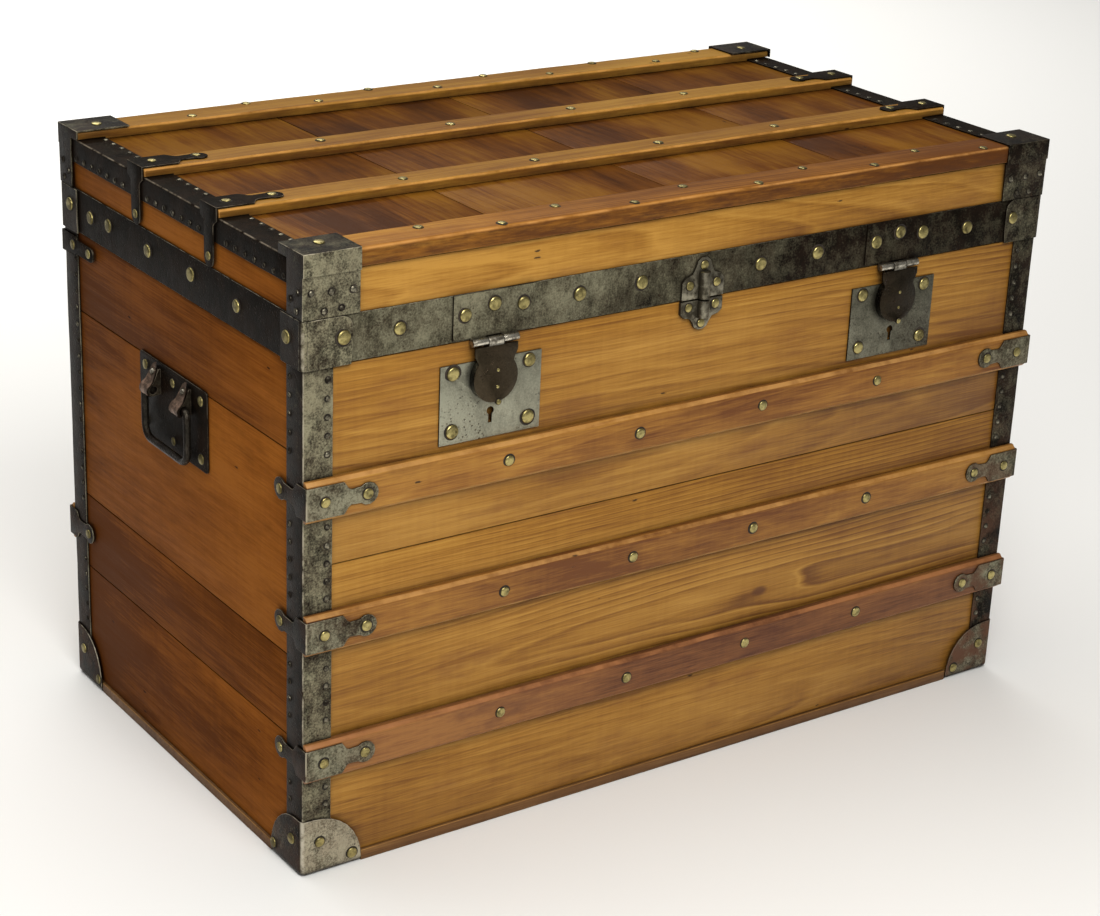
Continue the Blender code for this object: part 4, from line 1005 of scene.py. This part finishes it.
def make_lid_nails(slat, tack):
    middle_slats = ("lid_slat_middle_front", "lid_slat_middle_back")
    for node in middle_slats:
        middle = middle_of(node).y
        for x in spaced(LEFT + 0.189, RIGHT - 0.070, 0.139)[:-1]:
            slat.add("lid", (x, middle + slat.chance.uniform(-0.003, 0.003), SLAT_TOP), UP, 0.9)
        for side, edge in SIDES:
            slat.add("lid", (edge - side * 0.017, middle, LID_TOP), UP, 0.9)
            slat.add("lid", (edge - side * 0.0605, middle, LID_TOP), UP, 0.9)
            slat.add("lid", (edge, middle, BAND_HIGH.z + 0.0105), (side, 0, 0), 0.85)
    for index, x in enumerate(spaced(LEFT + 0.124, RIGHT - 0.080, 0.0685)):
        inset = 0.028 if index % 2 == 0 else 0.007
        slat.add("lid", (x, FRONT + inset, SLAT_TOP), UP, 0.85)
        slat.add("lid", (x, BACK - inset, SLAT_TOP), UP, 0.85)
    for side, edge in SIDES:
        for y in (FRONT + 0.023, BACK - 0.023):
            slat.add("lid", (edge - side * 0.028, y, LID_TOP), UP)
        flange_top = PANEL_TOP + IRON_LAYER
        for y in spaced(FRONT + 0.048, BACK - 0.048, LID_TACK_STEP):
            under_slat = any(
                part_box(node)[0].y - 0.004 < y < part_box(node)[1].y + 0.004 for node in middle_slats
            )
            if not under_slat:
                tack.add("lid", (edge - side * 0.0255, y, flange_top), UP)
        for y in spaced(FRONT + 0.034, BACK - 0.034, LID_TACK_STEP):
            under_strap = abs(abs(y) - STRAP_OFFSET) < STRAP_ROOM
            if not under_strap:
                tack.add("lid", (edge - side * IRON_LAYER, y, LID_TACK_HEIGHT), (side, 0, 0))


def make_lock_nails(brass, slat):
    for side in ("left", "right"):
        low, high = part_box("lock_" + side)
        for x in (low.x + 0.0125, high.x - 0.0125):
            for z in (low.z + 0.0115, high.z - 0.0075):
                brass.add("trunk_body", (x, low.y, z), TOWARDS_FRONT)
        centre = (low.x + high.x) / 2
        for offset, z in HASP_PLATE_NAILS:
            brass.add("lid", (centre + offset, FRONT, z), TOWARDS_FRONT)
        flap_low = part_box("hasp_" + side)[0]
        flap = "hasp_flap_" + side
        for z in HASP_STUDS:
            slat.add(flap, (centre + 0.002, flap_low.y + 0.0006, z), TOWARDS_FRONT, 0.32)
        slat.add(flap, (centre + 0.003, flap_low.y, flap_low.z + 0.0028), TOWARDS_FRONT, 0.5)
    middle = middle_of("clasp_dowel").x
    plate = FRONT - 0.0003
    for offset in (-CLASP_NAIL_OFFSET, CLASP_NAIL_OFFSET):
        slat.add("lid", (middle + offset, plate, 0.4845), TOWARDS_FRONT, 0.9)
        slat.add("trunk_body", (middle + offset, FRONT, 0.4640), TOWARDS_FRONT, 0.9)
    slat.add("lid", (middle, plate, 0.5020), TOWARDS_FRONT, 0.9)
    slat.add("trunk_body", (middle, FRONT, 0.4480), TOWARDS_FRONT, 0.9)


def make_corner_nails(brass, tack):
    clear_of = [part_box(f"front_slat_{row}") for row in ("upper", "middle", "lower")]
    back_clear_of = [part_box("back_slat")]
    for side, edge in SIDES:
        iron_x = edge - side * IRON_LAYER
        for outward, wall, covered in ((-1, FRONT, clear_of), (1, BACK, back_clear_of)):
            iron_y = wall - outward * IRON_LAYER
            for z in spaced(0.068, BAND_LOW.z - 0.012, TACK_STEP):
                if any(low.z - 0.004 < z < high.z + 0.004 for low, high in covered):
                    continue
                tack.add("trunk_body", (edge - side * FLANGE_MIDDLE, iron_y, z), (0, outward, 0))
                tack.add("trunk_body", (iron_x, wall - outward * FLANGE_MIDDLE, z), (side, 0, 0))
            for along, height in BASE_CAP_NAILS:
                brass.add("trunk_body", (edge - side * along, wall, height), (0, outward, 0), 0.8)
                brass.add("trunk_body", (edge, wall - outward * along, height), (side, 0, 0), 0.8)
            for along, height in LID_CAP_TACKS:
                tack.add("lid", (edge - side * along, wall, height), (0, outward, 0), 1.15)
            for along, height in LID_CAP_END_TACKS:
                tack.add("lid", (edge, wall - outward * along, height), (side, 0, 0), 1.1)


def make_handle_nails(slat):
    for side, edge in SIDES:
        low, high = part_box("handle_plate_left" if side < 0 else "handle_plate_right")
        face = edge - side * IRON_LAYER
        middle = (low.y + high.y) / 2
        for y in (low.y + 0.012, high.y - 0.012):
            for z in (low.z + 0.011, high.z - 0.011):
                slat.add("trunk_body", (face, y, z), (side, 0, 0))
        for z in (low.z + 0.009, high.z - 0.012):
            slat.add("trunk_body", (face, middle, z), (side, 0, 0), 0.85)
        for inset in HINGE_END_NAILS:
            slat.add("trunk_body", (edge, BACK - inset, 0.4565), (side, 0, 0), 0.95)
        for inset in HINGE_NAILS:
            slat.add("trunk_body", (edge - side * inset, BACK, 0.4545), TOWARDS_BACK, 0.9)
            slat.add("lid", (edge - side * inset, BACK, 0.4900), TOWARDS_BACK, 0.9)


# Locks, clasp, handles and hinges


def make_handle_tabs(side):
    """Over each lug of an end handle, a rusty strap that tapers up to a rivet and curls round the bail."""
    word = "left" if side < 0 else "right"
    axis = joint_place("bail_swing_" + word)
    plate = side * (RIGHT - IRON_LAYER)
    reach = abs(axis.x - plate)
    middle = middle_of("handle_plate_" + word).y
    # Each step down the strap: distance out from the plate, height over the bail's axis, half width.
    steps = [
        (0.0010, 0.0240, 0.0014), (0.0022, 0.0215, 0.0036), (0.0038, 0.0165, 0.0052),
        (reach, 0.0082, 0.0072),
    ]
    for angle in (60, 35, 10, -15, -40, -65, -90):
        turn = math.radians(angle)
        half = TAB_HALF_WIDTH - 0.0012 * max(0, -15 - angle) / 25
        steps.append((reach + LUG_REACH * math.cos(turn), LUG_REACH * math.sin(turn), half))
    shape = bmesh.new()
    rivets = bmesh.new()
    chance = random.Random(17)
    for row in (-1, 1):
        centre = middle + row * LUG_OFFSET
        for layer in (0.0, TAB_THICKNESS):
            rows = []
            for out, height, half in steps:
                spots = []
                for share in (-1.0, -0.5, 0.0, 0.5, 1.0):
                    crumple = noise.noise(Vector((share * 2.0 + row, height * 300.0, side))) * 0.0007
                    spots.append(shape.verts.new(Vector((
                        plate + side * (out + layer + crumple + 0.0006 * share * share),
                        centre + half * share,
                        axis.z + height,
                    ))))
                rows.append(spots)
            for upper, lower in zip(rows, rows[1:]):
                for step in range(4):
                    shape.faces.new((upper[step], upper[step + 1], lower[step + 1], lower[step]))
        head = Vector((plate + side * 0.0045, centre, axis.z + 0.0160))
        add_nail(rivets, head, (side, 0, 0.35), *RIVET_HEAD, chance, sides=14, crown=0.9)
    bmesh.ops.recalc_face_normals(shape, faces=shape.faces)
    finish_piece(f"handle_tabs_{word}", shape, [RUSTY_STEEL], "trunk_body")
    finish_piece(f"handle_rivets_{word}", rivets, [BRIGHT_STEEL], "trunk_body")


def joint_place(name):
    return Vector(next(joint["pos_m"] for joint in frame["joints"] if joint["name"] == name))


def make_small_fittings():
    for side in ("left", "right"):
        hasp_axis = joint_place("hasp_swing_" + side)
        barrel = (hasp_axis.y, hasp_axis.z, 0.0042)
        make_fitting("lock_" + side, LOCK_IRON, rounding=0.0003)
        make_fitting("hasp_plate_" + side, BAND_IRON, rounding=0.0003, bright_axis=barrel)
        make_fitting("hasp_" + side, HASP_IRON, rounding=0.0005, bright_axis=barrel)
        make_fitting("handle_plate_" + side, DARK_IRON, rounding=0.0004)
        make_fitting("handle_bail_" + side, BAIL_IRON, rounding=0.0002)
        make_fitting("hinge_body_leaf_" + side, DARK_IRON, rounding=0.0003)
        make_fitting("hinge_lid_leaf_" + side, DARK_IRON, rounding=0.0003)
        make_fitting("lock_bolt_" + side, BRASS, rounding=0.0003)
    for side in (-1, 1):
        make_handle_tabs(side)
    make_fitting("clasp_socket", CLASP_STEEL, rounding=0.0005)
    make_fitting("clasp_dowel", CLASP_STEEL, rounding=0.0005)
    for place in ("front_left", "front_right", "back_left", "back_right"):
        for kind, material, corner in (("base", BASE_CAP_IRON, 0.0058), ("lid", CAP_IRON, 0.0036)):
            node = f"{kind}_corner_cap_{place}"
            make_fitting(node, material, rounding=0.0006, corner=corner, corner_flat=True)


# Stage


def make_stage():
    """A plain pale floor, large soft lights and a pale surround."""
    shape = bmesh.new()
    bmesh.ops.create_grid(shape, x_segments=1, y_segments=1, size=12.0)
    mesh = bpy.data.meshes.new("floor")
    shape.to_mesh(mesh)
    shape.free()
    look = Look("pale_floor", specular=0.1)
    look.shader.inputs["Base Color"].default_value = (0.88, 0.88, 0.88, 1.0)
    look.shader.inputs["Roughness"].default_value = 0.9
    mesh.materials.append(look.material)
    floor = bpy.data.objects.new("floor", mesh)
    bpy.context.scene.collection.objects.link(floor)

    world = bpy.data.worlds.new("studio")
    world.use_nodes = True
    world.node_tree.nodes["Background"].inputs[0].default_value = (1.0, 0.99, 0.96, 1.0)
    world.node_tree.nodes["Background"].inputs[1].default_value = 0.18
    bpy.context.scene.world = world
    bpy.context.scene.view_settings.view_transform = "Standard"

    add_light("key", (-0.62, -1.52, 1.72), (-0.1, 0.0, 0.3), 1.1, 38.5)
    add_light("overhead", (-0.5, 1.0, 3.6), (-0.2, 0.3, 0.4), 3.4, 68.0)
    add_light("backdrop", (0.8, 3.6, 3.2), (1.2, 5.0, 0.0), 3.5, 190.0)


def add_light(name, at, target, size, power):
    light = bpy.data.lights.new(name, "AREA")
    light.shape = "SQUARE"
    light.size = size
    light.energy = power
    light.color = (1.0, 0.98, 0.93)
    lamp = bpy.data.objects.new(name, light)
    lamp.location = at
    direction = Vector(target) - Vector(at)
    lamp.rotation_euler = direction.to_track_quat("-Z", "Y").to_euler()
    bpy.context.scene.collection.objects.link(lamp)


def make_camera():
    """The eye stands off the front left corner and looks down at the trunk."""
    turn, fall, lean = (math.radians(angle) for angle in (35.272, 21.921, 2.406))
    ahead = Vector((math.sin(turn) * math.cos(fall), math.cos(turn) * math.cos(fall), -math.sin(fall)))
    level_right = Vector((math.cos(turn), -math.sin(turn), 0.0))
    level_up = level_right.cross(ahead)
    right = level_right * math.cos(lean) + level_up * math.sin(lean)
    up = level_up * math.cos(lean) - level_right * math.sin(lean)
    data = bpy.data.cameras.new("camera")
    data.sensor_width = 36.0
    data.lens = 80.654
    camera = bpy.data.objects.new("camera", data)
    pose = Matrix((right, up, -ahead)).transposed().to_4x4()
    pose.translation = Vector((-1.3166, -1.8630, 1.1521))
    camera.matrix_world = pose
    bpy.context.scene.collection.objects.link(camera)
    bpy.context.scene.camera = camera


make_carcass()
make_lid_wood()
make_slats()
make_flat_irons()
make_small_fittings()
make_nails()
make_stage()
make_camera()
